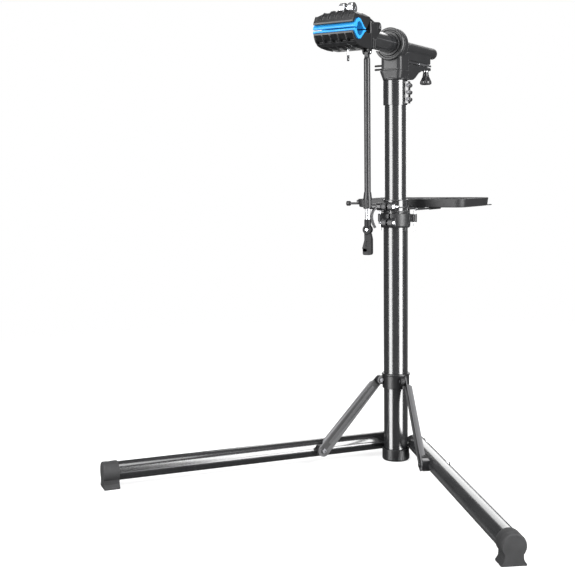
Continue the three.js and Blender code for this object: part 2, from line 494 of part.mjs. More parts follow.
function addClampBody() {
  const ring = rod(26.5, -BODY.back - 1, -ARM.ringStart, LARGE, 'y', [0, 0, AXIS_Z]);
  const lower = [[BODY.back, BODY.top], [BODY.front, BODY.top], [BODY.front, -1], [262, -1], [270.5, -3.3],
    [281, -11.3], [291, -19.3], [302, -21.3], [312.6, -15.6], [318.5, -8.6], [321.5, -9.5], [316, -20],
    [304, -28], [285, -31], [262, BODY.bottom], [BODY.back + 6, BODY.bottom], [BODY.back, BODY.bottom + 4]];
  const trunk = armSlab(lower, -BODY.halfWidth, BODY.halfWidth);
  const ear = (x) => {
    const arm = armSlab([[BODY.back - 1, 2], [BODY.back + 18, 2], [BODY.back + 18, BODY.top - 2],
      [JAW.pivotForward + 6, JAW.pivotHeight + 10], [JAW.pivotForward - 10, JAW.pivotHeight - 5]], x, x + 8);
    return union(arm, crossRod(12, x, x + 8, MEDIUM, JAW.pivotForward, JAW.pivotHeight));
  };
  let body = union(ring, trunk, ear(BODY.halfWidth - 8), ear(-BODY.halfWidth));
  const grooves = [];
  for (const side of [1, -1]) {
    for (const forward of [BODY.back + 7, BODY.back + 14, BODY.back + 21]) {
      grooves.push(rod(2, AXIS_Z - 60, AXIS_Z + 60, 10, 'z', [side * (BODY.halfWidth + 0.4), -forward, 0]));
    }
  }
  const slot = block([-ROD.radius - 1, -ROD.forward - 6.5, AXIS_Z - 60],
    [ROD.radius + 1, -ROD.forward + 8.5, AXIS_Z + 10]);
  const nutSeat = crossRod(ROD.nutRadius + GAP, -12, 12, MEDIUM, ROD.forward, ROD.nutHeight);
  const springPocket = rod(8.6, AXIS_Z - 10, AXIS_Z + 10, MEDIUM, 'z', [0, -ROD.forward, 0]);
  const lug = block([HOLDER.x - 9, -HOLDER.forward - 9, AXIS_Z - HOLDER.pivotDrop - 4],
    [HOLDER.x + 9, -HOLDER.forward + 9, AXIS_Z + BODY.bottom + 1]);
  const fork = block([HOLDER.x - 5.3, -HOLDER.forward - 20, AXIS_Z - 100],
    [HOLDER.x + 5.3, -HOLDER.forward + 20, AXIS_Z + BODY.bottom + 2]);
  const eye = rod(2.8, HOLDER.x - 20, HOLDER.x + 20, SMALL, 'x',
    [0, -HOLDER.forward, AXIS_Z - HOLDER.pivotDrop]);
  body = cut(union(cut(body, fork), cut(lug, fork)),
    rod(ARM.radius + GAP, -ARM.end - GAP, -100, LARGE, 'y', [0, 0, AXIS_Z]),
    slot, nutSeat, springPocket, eye, ...grooves, ...jawBores(30));
  piece(stand, 'clamp_body', MATERIAL.casting, body);
  piece(stand, 'holder_pin', MATERIAL.bright, rod(2.5, HOLDER.x - 10.5, HOLDER.x + 10.5, SMALL, 'x',
    [0, -HOLDER.forward, AXIS_Z - HOLDER.pivotDrop]));
  for (const side of [1, -1]) {
    const pinPart = (radius, from, to, segments) =>
      crossRod(radius, Math.min(side * from, side * to), Math.max(side * from, side * to), segments,
        JAW.pivotForward, JAW.pivotHeight);
    const pin = union(pinPart(JAW.pinRadius, JAW.pinStart, BODY.halfWidth + 1, SMALL),
      pinPart(6.6, BODY.halfWidth + GAP, BODY.halfWidth + 3, MEDIUM));
    piece(stand, `${side > 0 ? 'right' : 'left'}_jaw_pin`, MATERIAL.bright, pin);
  }
}

/** Soft jaw liner: a folded strip with a V notch; `up` is 1 for the lower jaw, -1 for the upper. */
function linerOutline(up) {
  const seat = JAW.seam - JAW.seamGap * up;
  const at = (forward, depth) => [forward, seat - up * depth];
  return [at(263, 0), at(277, 0), at(288, 11), at(297, 14.5), at(306, 10.5), at(310, 0), at(321, 0),
    at(322.5, 3), at(319, 8), at(312, 16.5), at(302, 22), at(291, 20), at(281, 12), at(271, 4)];
}

function addLiners() {
  piece(stand, 'lower_liner', MATERIAL.liner, armSlab(linerOutline(1), -JAW.halfWidth - 2, JAW.halfWidth + 2));
  piece(stand, 'upper_liner', MATERIAL.liner, armSlab(linerOutline(-1), -JAW.halfWidth - 2, JAW.halfWidth + 2));
}

/** Upper jaw: a fork of two knuckles round the pins, an arm over the body and a wide front for the liner. */
function addUpperJaw() {
  const seat = [[244, 21], [256, 8], [262, 5.3], [271, 9.3], [281, 17.3], [291, 25.3], [302, 27.3],
    [312.6, 21.6], [318.5, 14.6]];
  const ridge = [[321.5, 15.5], [320, 22], [316, 33], [300, 44], [283, 48], [262, 41.6], [242, 39.8]];
  const { pivotForward, pivotHeight } = JAW;
  const armOutline = [[pivotForward - 4, pivotHeight + 10], [pivotForward, pivotHeight],
    [pivotForward + 11.5, pivotHeight + 2], [207.3, 28.3], [238, 28.3], ...seat, ...ridge, [215, 33.8],
    [pivotForward + 2, pivotHeight + 12]];
  const span = BODY.halfWidth - 8 - GAP;
  const knuckle = (from, to) => crossRod(12, from, to, MEDIUM, pivotForward, pivotHeight);
  const front = armSlab([[238, 28.3], ...seat, ...ridge, [238, 38.9]], -JAW.halfWidth, JAW.halfWidth);
  const forkGap = block([-JAW.pinStart, -212, AXIS_Z - 20], [JAW.pinStart, -150, AXIS_Z + 60]);
  const whole = union(armSlab(armOutline, -span, span), front, knuckle(JAW.pinStart, span),
    knuckle(-span, -JAW.pinStart));
  const body = cut(whole, forkGap, ...jawBores(20),
    block([-ROD.radius - 1, -ROD.forward - 4.5, AXIS_Z], [ROD.radius + 1, -ROD.forward + 14.5, AXIS_Z + 60]),
    rod(8.6, AXIS_Z, AXIS_Z + 22, MEDIUM, 'z', [0, -ROD.forward, 0]));
  piece(stand, 'upper_jaw', MATERIAL.casting, body);
}

function addCam() {
  const { forward, radius, camHeight, bottom } = ROD;
  const barrel = crossRod(4.5, -CAM.halfWidth + 1, CAM.halfWidth - 1, MEDIUM, forward, camHeight);
  piece(stand, 'clamp_rod', MATERIAL.bright,
    union(rod(radius, AXIS_Z + bottom, AXIS_Z + camHeight + 8, SMALL, 'z', [0, -forward, 0]), barrel));
  piece(stand, 'rod_nut', MATERIAL.bright, cut(
    crossRod(ROD.nutRadius, -11.6, 11.6, MEDIUM, forward, ROD.nutHeight),
    rod(radius + 0.8, AXIS_Z - 40, AXIS_Z, SMALL, 'z', [0, -forward, 0])));
  const cheeks = [1, -1].map((side) => {
    const [low, high] = side > 0 ? [CAM.forkHalf, CAM.halfWidth] : [-CAM.halfWidth, -CAM.forkHalf];
    return crossRod(CAM.radius, low, high, MEDIUM, forward, camHeight);
  });
  const handle = armSlab([[forward - 8, camHeight + 9], [forward - 30, camHeight + 1.5],
    [forward - 60, camHeight - 9.5], [forward - CAM.reach, camHeight - 14.5],
    [forward - CAM.reach, camHeight - 9.5], [forward - 62, camHeight - 4], [forward - 36, camHeight + 7.5],
    [forward - 10, camHeight + 13.2]], -12, 12);
  let lever = cut(union(...cheeks, handle), crossRod(4.5 + GAP, -30, 30, MEDIUM, forward, camHeight),
    block([-CAM.forkHalf, -forward - 30, AXIS_Z + camHeight - 30],
      [CAM.forkHalf, -forward + 9, AXIS_Z + camHeight + 30]));
  piece(stand, 'cam_lever', MATERIAL.bright, lever);
  addSpring();
}

/** Light coil spring round the rod, between the two jaws. */
function addSpring() {
  const points = [];
  const turns = 3;
  const low = AXIS_Z - 9;
  const high = AXIS_Z + 21;
  for (let k = 0; k <= turns * 10; k += 1) {
    const angle = (2 * Math.PI * k) / 10;
    points.push([6.8 * Math.cos(angle), -ROD.forward + 6.8 * Math.sin(angle),
      low + ((high - low) * k) / (turns * 10)]);
  }
  piece(stand, 'clamp_spring', MATERIAL.bright, bentRod(points, 0.8, turns * 14, 5));
}

// ---------------------------------------------------------------- wheel holder
function addHolder() {
  const { x, forward, pivotDrop, tubeRadius, collarRadius, innerRadius } = HOLDER;
  const { tubeTop, tubeBottom, collarBottom, innerTop, pivot, hookEnd } = HOLDER_Z;
  const at = [x, -forward, 0];
  const hinge = AXIS_Z - pivotDrop;
  const tongue = union(rod(5, x - 4.9, x + 4.9, MEDIUM, 'x', [0, -forward, hinge]),
    block([x - 4.9, -forward - 5, tubeTop - 2], [x + 4.9, -forward + 5, hinge]),
    rod(tubeRadius, tubeTop - 22, tubeTop, MEDIUM, 'z', at));
  const outer = cut(union(tongue, rod(tubeRadius, tubeBottom - 6, tubeTop - 1, MEDIUM, 'z', at)),
    rod(innerRadius + GAP, tubeBottom - 20, innerTop + GAP, MEDIUM, 'z', at),
    rod(2.8, x - 20, x + 20, SMALL, 'x', [0, -forward, hinge]));
  piece(stand, 'holder_outer_tube', MATERIAL.plastic, outer);
  const collar = turned([[innerRadius + GAP, collarBottom], [collarRadius - 1.5, collarBottom],
    [collarRadius, collarBottom + 2], [collarRadius, tubeBottom - 10], [collarRadius - 1.6, tubeBottom],
    [tubeRadius + GAP, tubeBottom], [tubeRadius + GAP, tubeBottom - 6 - GAP],
    [innerRadius + GAP, tubeBottom - 6 - GAP]], MEDIUM, 'z', at);
  piece(stand, 'holder_twist_lock', MATERIAL.plastic, collar);
  const head = rod(11, -forward - 6, -forward + 6, MEDIUM, 'y', [x, 0, pivot]);
  piece(stand, 'holder_inner_tube', MATERIAL.bright,
    rod(innerRadius, pivot + 11 + GAP, innerTop, MEDIUM, 'z', at));
  const fork = cut(union(head, rod(8, pivot + 4, pivot + 24, MEDIUM, 'z', at)),
    rod(innerRadius + GAP, pivot + 11, pivot + 40, MEDIUM, 'z', at),
    block([x - 20, -forward - 2.8, pivot - 20], [x + 20, -forward + 2.8, pivot + 10.5]),
    rod(2.3, -forward - 20, -forward + 20, SMALL, 'y', [x, 0, pivot]));
  piece(stand, 'holder_end', MATERIAL.plastic, fork);
  piece(stand, 'hook_pin', MATERIAL.bright, rod(2, -forward - 7, -forward + 7, SMALL, 'y', [x, 0, pivot]));
  const blade = new THREE.Shape();
  blade.moveTo(x - 7, pivot - 6);
  blade.lineTo(x - 6, pivot - 26);
  blade.lineTo(x - 12, hookEnd + 16);
  blade.lineTo(x - 11, hookEnd + 2);
  blade.quadraticCurveTo(x - 10, hookEnd, x - 8, hookEnd);
  blade.lineTo(x + 8, hookEnd);
  blade.quadraticCurveTo(x + 11, hookEnd, x + 11, hookEnd + 4);
  blade.lineTo(x + 11, pivot - 22);
  blade.lineTo(x + 8, pivot - 12);
  const thin = new THREE.ExtrudeGeometry(blade, { depth: 12, bevelEnabled: false, curveSegments: 4 });
  thin.rotateX(Math.PI / 2);
  thin.translate(0, -forward + 6, 0);
  const eye = rod(9.5, -forward - 2.5, -forward + 2.5, MEDIUM, 'y', [x, 0, pivot]);
  const notch = block([x - 20, -forward - 9, hookEnd + 8], [x - 2, -forward + 9, hookEnd + 15]);
  const swing = rod(11.5, -forward - 9, -forward - 2.5, MEDIUM, 'y', [x, 0, pivot])
    .add(rod(11.5, -forward + 2.5, -forward + 9, MEDIUM, 'y', [x, 0, pivot]));
  const hook = cut(union(cut(solid(thin), swing), eye), notch,
    rod(2.3, -forward - 20, -forward + 20, SMALL, 'y', [x, 0, pivot]));
  piece(stand, 'holder_hook', MATERIAL.plastic, hook);
}

// ---------------------------------------------------------------- assembly
addPost();
addSlider();
for (const [side, name] of [[1, 'right'], [-1, 'left']]) {
  addLeg(side, name);
  addBrace(side, name);
}
addCollars();
addTray();
addMast();
addHead();
addArm();
addClampBody();
addLiners();
addUpperJaw();
addCam();
addHolder();

stand.updateMatrixWorld(true);
export default stand;
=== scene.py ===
"""Looks for the folding bicycle work stand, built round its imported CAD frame.

Meshes are modelled in millimetres in the row frame and scaled to metres when they are delivered.
"""

import math

import bmesh
import bpy
from mathutils import Matrix, Vector


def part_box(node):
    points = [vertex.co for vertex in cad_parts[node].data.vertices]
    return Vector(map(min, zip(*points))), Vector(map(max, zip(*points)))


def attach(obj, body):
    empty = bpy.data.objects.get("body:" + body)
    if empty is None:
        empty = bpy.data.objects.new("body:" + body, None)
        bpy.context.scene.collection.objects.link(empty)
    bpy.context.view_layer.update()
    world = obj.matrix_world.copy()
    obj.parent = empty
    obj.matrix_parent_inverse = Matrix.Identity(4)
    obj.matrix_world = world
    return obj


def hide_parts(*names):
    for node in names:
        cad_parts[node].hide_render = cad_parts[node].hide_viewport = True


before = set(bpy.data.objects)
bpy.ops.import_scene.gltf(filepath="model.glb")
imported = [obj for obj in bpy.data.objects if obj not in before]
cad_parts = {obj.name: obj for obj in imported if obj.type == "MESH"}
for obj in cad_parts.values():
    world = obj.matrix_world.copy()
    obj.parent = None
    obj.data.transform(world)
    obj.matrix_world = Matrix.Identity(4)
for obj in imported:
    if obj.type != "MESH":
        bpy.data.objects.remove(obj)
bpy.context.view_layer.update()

MM = 0.001
FINE = 96
MEDIUM = 48
SMALL = 24

# ---------------------------------------------------------------- dimensions, in millimetres


def node_box(node):
    """Lowest and highest corner of a CAD node, in millimetres."""
    low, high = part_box(node)
    return Vector(low) / MM, Vector(high) / MM


def middle(node):
    low, high = node_box(node)
    return (low + high) / 2


SIDES = ((1, "right"), (-1, "left"))
LEG_ANGLE = math.radians(37.8)  # between each leg and the -Y axis
LEG_OFFSET = 54  # sideways from the post's axis to the leg's axis
LEG_HEIGHT = 38
LEG_RADIUS = 22.5
LEG_END = 722
BRACE_LEG_PIN = 196  # out along the leg
BRACE_POST_PIN = 40
BRACE_POST_HEIGHT = 209
POST_RADIUS = 30.5
MAST_RADIUS = 27
CLEARANCE = 0.3
TRAY_LIP = 27

arm_low, arm_high = node_box("arm_tube")
AXIS_Z = (arm_low.z + arm_high.z) / 2
ARM_AXIS = (0, 0, AXIS_Z)
ARM_RADIUS = (arm_high.z - arm_low.z) / 2
JAW_PIVOT = (194, 17)  # forward of the post's axis, above the arm's axis
ROD_FORWARD = 252
CAM_HEIGHT = 55.5  # above the arm's axis
HOLDER_BORE_TOP = 985.3

# ---------------------------------------------------------------- mesh tools


def new_object(name, mesh):
    piece = bpy.data.objects.new(name, mesh)
    bpy.context.scene.collection.objects.link(piece)
    return piece


def from_bmesh(name, bm):
    """Object from a bmesh, with its faces turned outwards."""
    bmesh.ops.remove_doubles(bm, verts=bm.verts, dist=1e-4)
    bmesh.ops.recalc_face_normals(bm, faces=bm.faces)
    mesh = bpy.data.meshes.new(name)
    bm.to_mesh(mesh)
    bm.free()
    return new_object(name, mesh)


SIDE_AXES = Matrix(((0, 0, 1, 0), (-1, 0, 0, 0), (0, 1, 0, 0), (0, 0, 0, 1)))
FRONT_AXES = Matrix(((1, 0, 0, 0), (0, 0, 1, 0), (0, 1, 0, 0), (0, 0, 0, 1)))


def turn_matrix(axis, at=(0, 0, 0)):
    """Takes local +Z to the row's x, y or z axis and the local origin to the point."""
    turns = {
        "x": Matrix.Rotation(math.pi / 2, 4, "Y"),
        "y": Matrix.Rotation(-math.pi / 2, 4, "X"),
        "z": Matrix.Identity(4),
    }
    return Matrix.Translation(Vector(at)) @ turns[axis]


def span(side, inner, outer):
    """The two distances on one side of the middle, low one first."""
    return sorted((side * inner, side * outer))


def place(piece, matrix):
    """Moves a piece's mesh, and turns its faces back outwards after a mirroring matrix."""
    piece.data.transform(matrix)
    if matrix.determinant() < 0:
        piece.data.flip_normals()
    return piece


def fillet(points, radius, closed=True, steps=4):
    """Rounds the corners of a 2-D outline. The radius is one number, or one for each corner."""
    count = len(points)
    radii = radius if isinstance(radius, (list, tuple)) else [radius] * count
    result = []
    for k, (point, r) in enumerate(zip(points, radii)):
        here = Vector(point)
        ends = not closed and k in (0, count - 1)
        if r <= 0 or ends:
            result.append(here)
            continue
        before = Vector(points[k - 1]) - here
        after = Vector(points[(k + 1) % count]) - here
        half = before.angle(after) / 2
        if abs(half - math.pi / 2) < 0.01 or half < 0.01:
            result.append(here)
            continue
        reach = min(r / math.tan(half), 0.48 * before.length, 0.48 * after.length)
        start = here + before.normalized() * reach
        end = here + after.normalized() * reach
        for step in range(steps + 1):
            t = step / steps
            result.append(start * (1 - t) ** 2 + here * 2 * t * (1 - t) + end * t**2)
    return [tuple(point) for point in result]


def arc(centre, radius, start, end, steps):
    """Points round part of a circle, with the angles in degrees."""
    angles = [math.radians(start + (end - start) * k / steps) for k in range(steps + 1)]
    return [(centre[0] + radius * math.cos(a), centre[1] + radius * math.sin(a)) for a in angles]


def lathe(profile, segments=FINE, axis="z", at=(0, 0, 0), rounding=0.0, steps=3):
    """Solid of revolution from [radius, height] points. A profile off the axis is closed on itself."""
    ring_shaped = profile[0][0] > 0 and profile[-1][0] > 0
    points = fillet(profile, rounding, closed=ring_shaped, steps=steps) if rounding else profile
    bm = bmesh.new()
    rings = []
    for radius, height in points:
        if radius < 1e-6:
            rings.append([bm.verts.new((0, 0, height))])
            continue
        angles = [2 * math.pi * k / segments for k in range(segments)]
        rings.append([bm.verts.new((radius * math.cos(a), radius * math.sin(a), height)) for a in angles])
    pairs = list(zip(rings, rings[1:]))
    if ring_shaped:
        pairs.append((rings[-1], rings[0]))
    for low, high in pairs:
        for k in range(segments):
            after = (k + 1) % segments
            corners = [low[k % len(low)], low[after % len(low)], high[after % len(high)],
                       high[k % len(high)]]
            unique = list(dict.fromkeys(corners))
            if len(unique) > 2:
                bm.faces.new(unique)
    return place(from_bmesh("turned", bm), turn_matrix(axis, at))


def rod(radius, low, high, segments=MEDIUM, axis="z", at=(0, 0, 0), rounding=0.4):
    """Round bar with softened ends."""
    profile = [(0, low), (radius, low), (radius, high), (0, high)]
    return lathe(profile, segments, axis, at, rounding)


def tube(outer, inner, low, high, segments=FINE, axis="z", at=(0, 0, 0), rounding=0.5):
    profile = [(inner, low), (outer, low), (outer, high), (inner, high)]
    return lathe(profile, segments, axis, at, rounding)


def prism(outline, low, high, edge=0.0, edge_steps=3):
    """Outline in the XY plane, extruded in Z, with its rims rounded by `edge`."""
    bm = bmesh.new()
    bottom = [bm.verts.new((x, y, low)) for x, y in outline]
    top = [bm.verts.new((x, y, high)) for x, y in outline]
    bm.faces.new(bottom[::-1])
    bm.faces.new(top)
    count = len(outline)
    for k in range(count):
        bm.faces.new([bottom[k], bottom[(k + 1) % count], top[(k + 1) % count], top[k]])
    piece = from_bmesh("prism", bm)
    if edge:
        bevel(piece, edge, edge_steps, angle=40)
    return piece


def block(low, high, edge=0.0):
    """Box between two corners, with softened edges."""
    outline = [(low[0], low[1]), (high[0], low[1]), (high[0], high[1]), (low[0], high[1])]
    return prism(outline, low[2], high[2], edge)


def side_slab(outline, x_low, x_high, edge=0.0):
    """Side outline in [forward, height] points, extruded across X; forward is -Y."""
    return place(prism(outline, x_low, x_high, edge), SIDE_AXES)


def arm_slab(outline, x_low, x_high, edge=0.0, radius=0):
    """Slab across X whose [forward, height] outline is measured from the arm's axis."""
    rounded = fillet(outline, radius) if radius else outline
    return side_slab([(forward, AXIS_Z + height) for forward, height in rounded], x_low, x_high, edge)


def front_slab(outline, y_low, y_high, edge=0.0):
    """Front outline in [x, z] points, extruded along Y."""
    return place(prism(outline, y_low, y_high, edge), FRONT_AXES)


def sweep(points, radius, sides=16, steps=8):
    """Round bar along a smooth curve through the points, with closed ends."""
    data = bpy.data.curves.new("path", "CURVE")
    data.dimensions = "3D"
    data.resolution_u = steps
    data.bevel_depth = radius
    data.bevel_resolution = sides // 4
    data.use_fill_caps = True
    spline = data.splines.new("BEZIER")
    spline.bezier_points.add(len(points) - 1)
    for bezier, point in zip(spline.bezier_points, points):
        bezier.co = point
        bezier.handle_left_type = "AUTO"
        bezier.handle_right_type = "AUTO"
    holder = bpy.data.objects.new("path", data)
    bpy.context.scene.collection.objects.link(holder)
    bpy.context.view_layer.update()
    mesh = bpy.data.meshes.new_from_object(holder.evaluated_get(bpy.context.evaluated_depsgraph_get()))
    bpy.data.objects.remove(holder)
    bm = bmesh.new()
    bm.from_mesh(mesh)
    return from_bmesh("swept", bm)


def apply_modifiers(piece):
    bpy.context.view_layer.update()
    graph = bpy.context.evaluated_depsgraph_get()
    mesh = bpy.data.meshes.new_from_object(piece.evaluated_get(graph))
    piece.modifiers.clear()
    piece.data = mesh
    return piece


def bevel(piece, width, steps=3, angle=35):
    """Rounds every edge that is sharper than the angle."""
    modifier = piece.modifiers.new("bevel", "BEVEL")
    modifier.width = width
    modifier.segments = steps
    modifier.limit_method = "ANGLE"
    modifier.angle_limit = math.radians(angle)
    modifier.use_clamp_overlap = True
    return apply_modifiers(piece)


def combine(piece, others, operation):
    for other in others:
        modifier = piece.modifiers.new("boolean", "BOOLEAN")
        modifier.operation = operation
        modifier.solver = "EXACT"
        modifier.object = other
        apply_modifiers(piece)
        bpy.data.objects.remove(other)
    return piece


def union(piece, *others):
    return combine(piece, others, "UNION")


def cut(piece, *others):
    return combine(piece, others, "DIFFERENCE")


def blended(piece, voxel, rounds):
    """Melts joined shapes into one casting: a voxel skin whose inner and outer corners are smoothed."""
    remesh = piece.modifiers.new("remesh", "REMESH")
    remesh.mode = "VOXEL"
    remesh.voxel_size = voxel
    remesh.use_smooth_shade = True
    smooth = piece.modifiers.new("smooth", "SMOOTH")
    smooth.factor = 0.5
    smooth.iterations = rounds
    return apply_modifiers(piece)


def cast(voxel, rounds, *pieces):
    """One casting melted from overlapping shapes."""
    return blended(joined("cast", *pieces), voxel, rounds)


def joined(name, *pieces):
    """One object from several separate ones, without merging their shells."""
    bm = bmesh.new()
    for piece in pieces:
        bm.from_mesh(piece.data)
        bpy.data.objects.remove(piece)
    mesh = bpy.data.meshes.new(name)
    bm.to_mesh(mesh)
    bm.free()
    return new_object(name, mesh)


def deliver(piece, name, material, body, nodes=(), smooth_angle=32):
    """Final form of a piece: metres, smooth shading, material, the CAD body it rides on."""
    piece.name = name
    piece.data.name = name
    piece.data.transform(Matrix.Scale(MM, 4))
    piece.data.materials.clear()
    piece.data.materials.append(material)
    piece.data.polygons.foreach_set("material_index", [0] * len(piece.data.polygons))
    piece.data.shade_smooth()
    piece.data.set_sharp_from_angle(angle=math.radians(smooth_angle))
    weighted = piece.modifiers.new("normals", "WEIGHTED_NORMAL")
    weighted.keep_sharp = True
    if nodes:
        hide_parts(*nodes)
    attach(piece, body)
    return piece


def stand_in(piece, node, material, body, smooth_angle=32):
    """A piece that shows in place of one CAD node."""
    return deliver(piece, f"{node}_look", material, body, [node], smooth_angle)


def screw_head(radius, height, hexagonal=False, socket=True, axis="z", at=(0, 0, 0)):
    """Screw or bolt head standing on the local plane z = 0: a hexagon, or a round cap with a hex socket."""
    if hexagonal:
        outline = arc((0, 0), radius, 0, 300, 5)
        head = prism(outline, 0, height, edge=0.35)
        chamfer = lathe([(0, 0), (radius, 0), (radius, height * 0.6), (radius * 0.86, height), (0, height)],
                        SMALL)
        head = combine(head, [chamfer], "INTERSECT")
    else:
        head = lathe([(0, 0), (radius, 0), (radius, height * 0.75), (radius * 0.8, height), (0, height)],
                     MEDIUM, rounding=0.4)
    if socket:
        cut(head, prism(arc((0, 0), radius * 0.5, 0, 300, 5), height * 0.45, height + 2))
    return place(head, turn_matrix(axis, at))


# ---------------------------------------------------------------- materials


class Nodes:
    """A material's node tree, with short calls for adding and joining nodes."""

    def __init__(self, name):
        self.material = bpy.data.materials.new(name)
        self.material.use_nodes = True
        self.tree = self.material.node_tree
        self.shader = self.tree.nodes["Principled BSDF"]
        self.place = self.add("ShaderNodeTexCoord").outputs["Object"]

    def add(self, kind, **settings):
        node = self.tree.nodes.new(kind)
        for key, value in settings.items():
            setattr(node, key, value)
        return node

    def join(self, source, target):
        self.tree.links.new(source, target)

    def stretched(self, scale, rotation=(0, 0, 0)):
        """Object coordinates turned and then scaled, for a grain with a direction."""
        turned = self.add("ShaderNodeMapping", vector_type="TEXTURE")
        turned.inputs["Rotation"].default_value = rotation
        self.join(self.place, turned.inputs["Vector"])
        scaled = self.add("ShaderNodeMapping")
        scaled.inputs["Scale"].default_value = scale
        self.join(turned.outputs["Vector"], scaled.inputs["Vector"])
        return scaled.outputs["Vector"]

    def noise(self, scale, detail=4.0, vector=None):
        texture = self.add("ShaderNodeTexNoise")
        texture.inputs["Scale"].default_value = scale
        texture.inputs["Detail"].default_value = detail
        self.join(vector or self.place, texture.inputs["Vector"])
        return texture.outputs["Fac"]

    def ramp(self, value, low, high, start=0.0, end=1.0):
        """Value from start..end mapped to low..high."""
        node = self.add("ShaderNodeMapRange")
        node.inputs["From Min"].default_value = start
        node.inputs["From Max"].default_value = end
        node.inputs["To Min"].default_value = low
        node.inputs["To Max"].default_value = high
        self.join(value, node.inputs["Value"])
        return node.outputs["Result"]

    def mix(self, amount, first, second):
        """Colour mixed from two, each a colour or an output."""
        node = self.add("ShaderNodeMix", data_type="RGBA")
        self.join(amount, node.inputs["Factor"])
        for key, colour in (("A", first), ("B", second)):
            socket = next(s for s in node.inputs if s.name == key and s.type == "RGBA")
            if isinstance(colour, (tuple, list)):
                socket.default_value = (*colour, 1.0)
            else:
                self.join(colour, socket)
        return next(s for s in node.outputs if s.type == "RGBA")

    def worn_edges(self, colour, edge_colour, strength=0.35):
        """Lighter colour along convex edges, as rubbed plastic and paint have."""
        pointed = self.ramp(self.add("ShaderNodeNewGeometry").outputs["Pointiness"], 0.0, strength, 0.52,
                            0.60)
        return self.mix(pointed, colour, edge_colour)

    def bump(self, height, distance, strength=1.0, after=None):
        node = self.add("ShaderNodeBump")
        node.inputs["Distance"].default_value = distance
        node.inputs["Strength"].default_value = strength
        self.join(height, node.inputs["Height"])
        if after is not None:
            self.join(after, node.inputs["Normal"])
        return node.outputs["Normal"]

    def finish(self, colour=None, roughness=None, normal=None, **sockets):
        for value, name in ((colour, "Base Color"), (roughness, "Roughness"), (normal, "Normal")):
            if value is not None:
                self.join(value, self.shader.inputs[name])
        for name, value in sockets.items():
            self.shader.inputs[name.replace("_", " ")].default_value = value
        return self.material


def coated_tube(name, rotation=(0, 0, 0)):
    """Gloss charcoal coating on drawn tube: faint lines along the tube, soft waviness, rubbed patches."""
    n = Nodes(name)
    drawn = n.noise(1.0, 2.0, n.stretched((520, 520, 5), rotation))
    patches = n.noise(14.0, 3.0)
    flecks = n.noise(260.0, 2.0)
    colour = n.mix(n.ramp(patches, 0.0, 1.0, 0.3, 0.7), (0.006, 0.0062, 0.007), (0.011, 0.0114, 0.012))
    colour = n.mix(n.ramp(flecks, 0.0, 0.5, 0.66, 0.74), colour, (0.04, 0.04, 0.042))
    roughness = n.ramp(n.noise(22.0, 5.0), 0.16, 0.27)
    normal = n.bump(drawn, 0.00006, 0.5)
    return n.finish(n.worn_edges(colour, (0.16, 0.16, 0.165)), roughness, normal,
                    Metallic=0.0, Specular_IOR_Level=0.7, Coat_Weight=0.5, Coat_Roughness=0.12)


def moulded_plastic(name, dark, light, grain=0.00012, rough=(0.42, 0.58), shine=0.38):
    """Moulded plastic with a fine spark-eroded grain and slightly uneven colour."""
    n = Nodes(name)
    grainy = n.noise(1500.0, 3.0)
    cloudy = n.noise(18.0, 5.0)
    speckle = n.noise(420.0, 2.0)
    colour = n.mix(cloudy, dark, light)
    colour = n.mix(n.ramp(speckle, 0.0, 0.35, 0.58, 0.72), colour, tuple(1.6 * c for c in light))
    roughness = n.ramp(n.noise(35.0, 4.0), rough[0], rough[1])
    normal = n.bump(n.noise(90.0, 2.0), 0.00018, 0.35, n.bump(grainy, grain, 0.7))
    edge = tuple(min(1.0, 2.4 * c + 0.01) for c in light)
    return n.finish(n.worn_edges(colour, edge), roughness, normal, Specular_IOR_Level=shine)


def plated_metal(name, base=(0.74, 0.75, 0.77), rough=(0.14, 0.30), rotation=(0, 0, 0)):
    """Bright plated steel with fine turning lines and a little haze."""
    n = Nodes(name)
    lines = n.noise(1.0, 3.0, n.stretched((900, 900, 40), rotation))
    haze = n.noise(60.0, 5.0)
    colour = n.mix(haze, tuple(0.86 * c for c in base), base)
    roughness = n.ramp(haze, rough[0], rough[1])
    return n.finish(colour, roughness, n.bump(lines, 0.00004, 0.35), Metallic=1.0)


def painted_steel(name, dark, light):
    """Satin black paint on pressed steel: orange peel, chipped bright edges."""
    n = Nodes(name)
    peel = n.noise(480.0, 2.0)
    colour = n.mix(n.noise(30.0, 5.0), dark, light)
    return n.finish(n.worn_edges(colour, (0.30, 0.30, 0.31), 0.6), n.ramp(n.noise(40.0), 0.38, 0.52),
                    n.bump(peel, 0.0001, 0.4), Specular_IOR_Level=0.28)


def soft_rubber(name, dark, light, rough=(0.62, 0.85), grain=0.0002):
    """Moulded rubber: matte, finely pitted, dusty in places."""
    n = Nodes(name)
    pits = n.add("ShaderNodeTexVoronoi")
    pits.inputs["Scale"].default_value = 900.0
    n.join(n.place, pits.inputs["Vector"])
    dust = n.noise(28.0, 6.0)
    colour = n.mix(n.ramp(dust, 0.0, 1.0, 0.35, 0.75), dark, light)
    normal = n.bump(pits.outputs["Distance"], grain, 0.5, n.bump(n.noise(160.0, 3.0), 0.0002, 0.3))
    return n.finish(n.worn_edges(colour, tuple(min(1.0, 1.7 * c) for c in light)),
                    n.ramp(n.noise(50.0), rough[0], rough[1]), normal, Specular_IOR_Level=0.4)


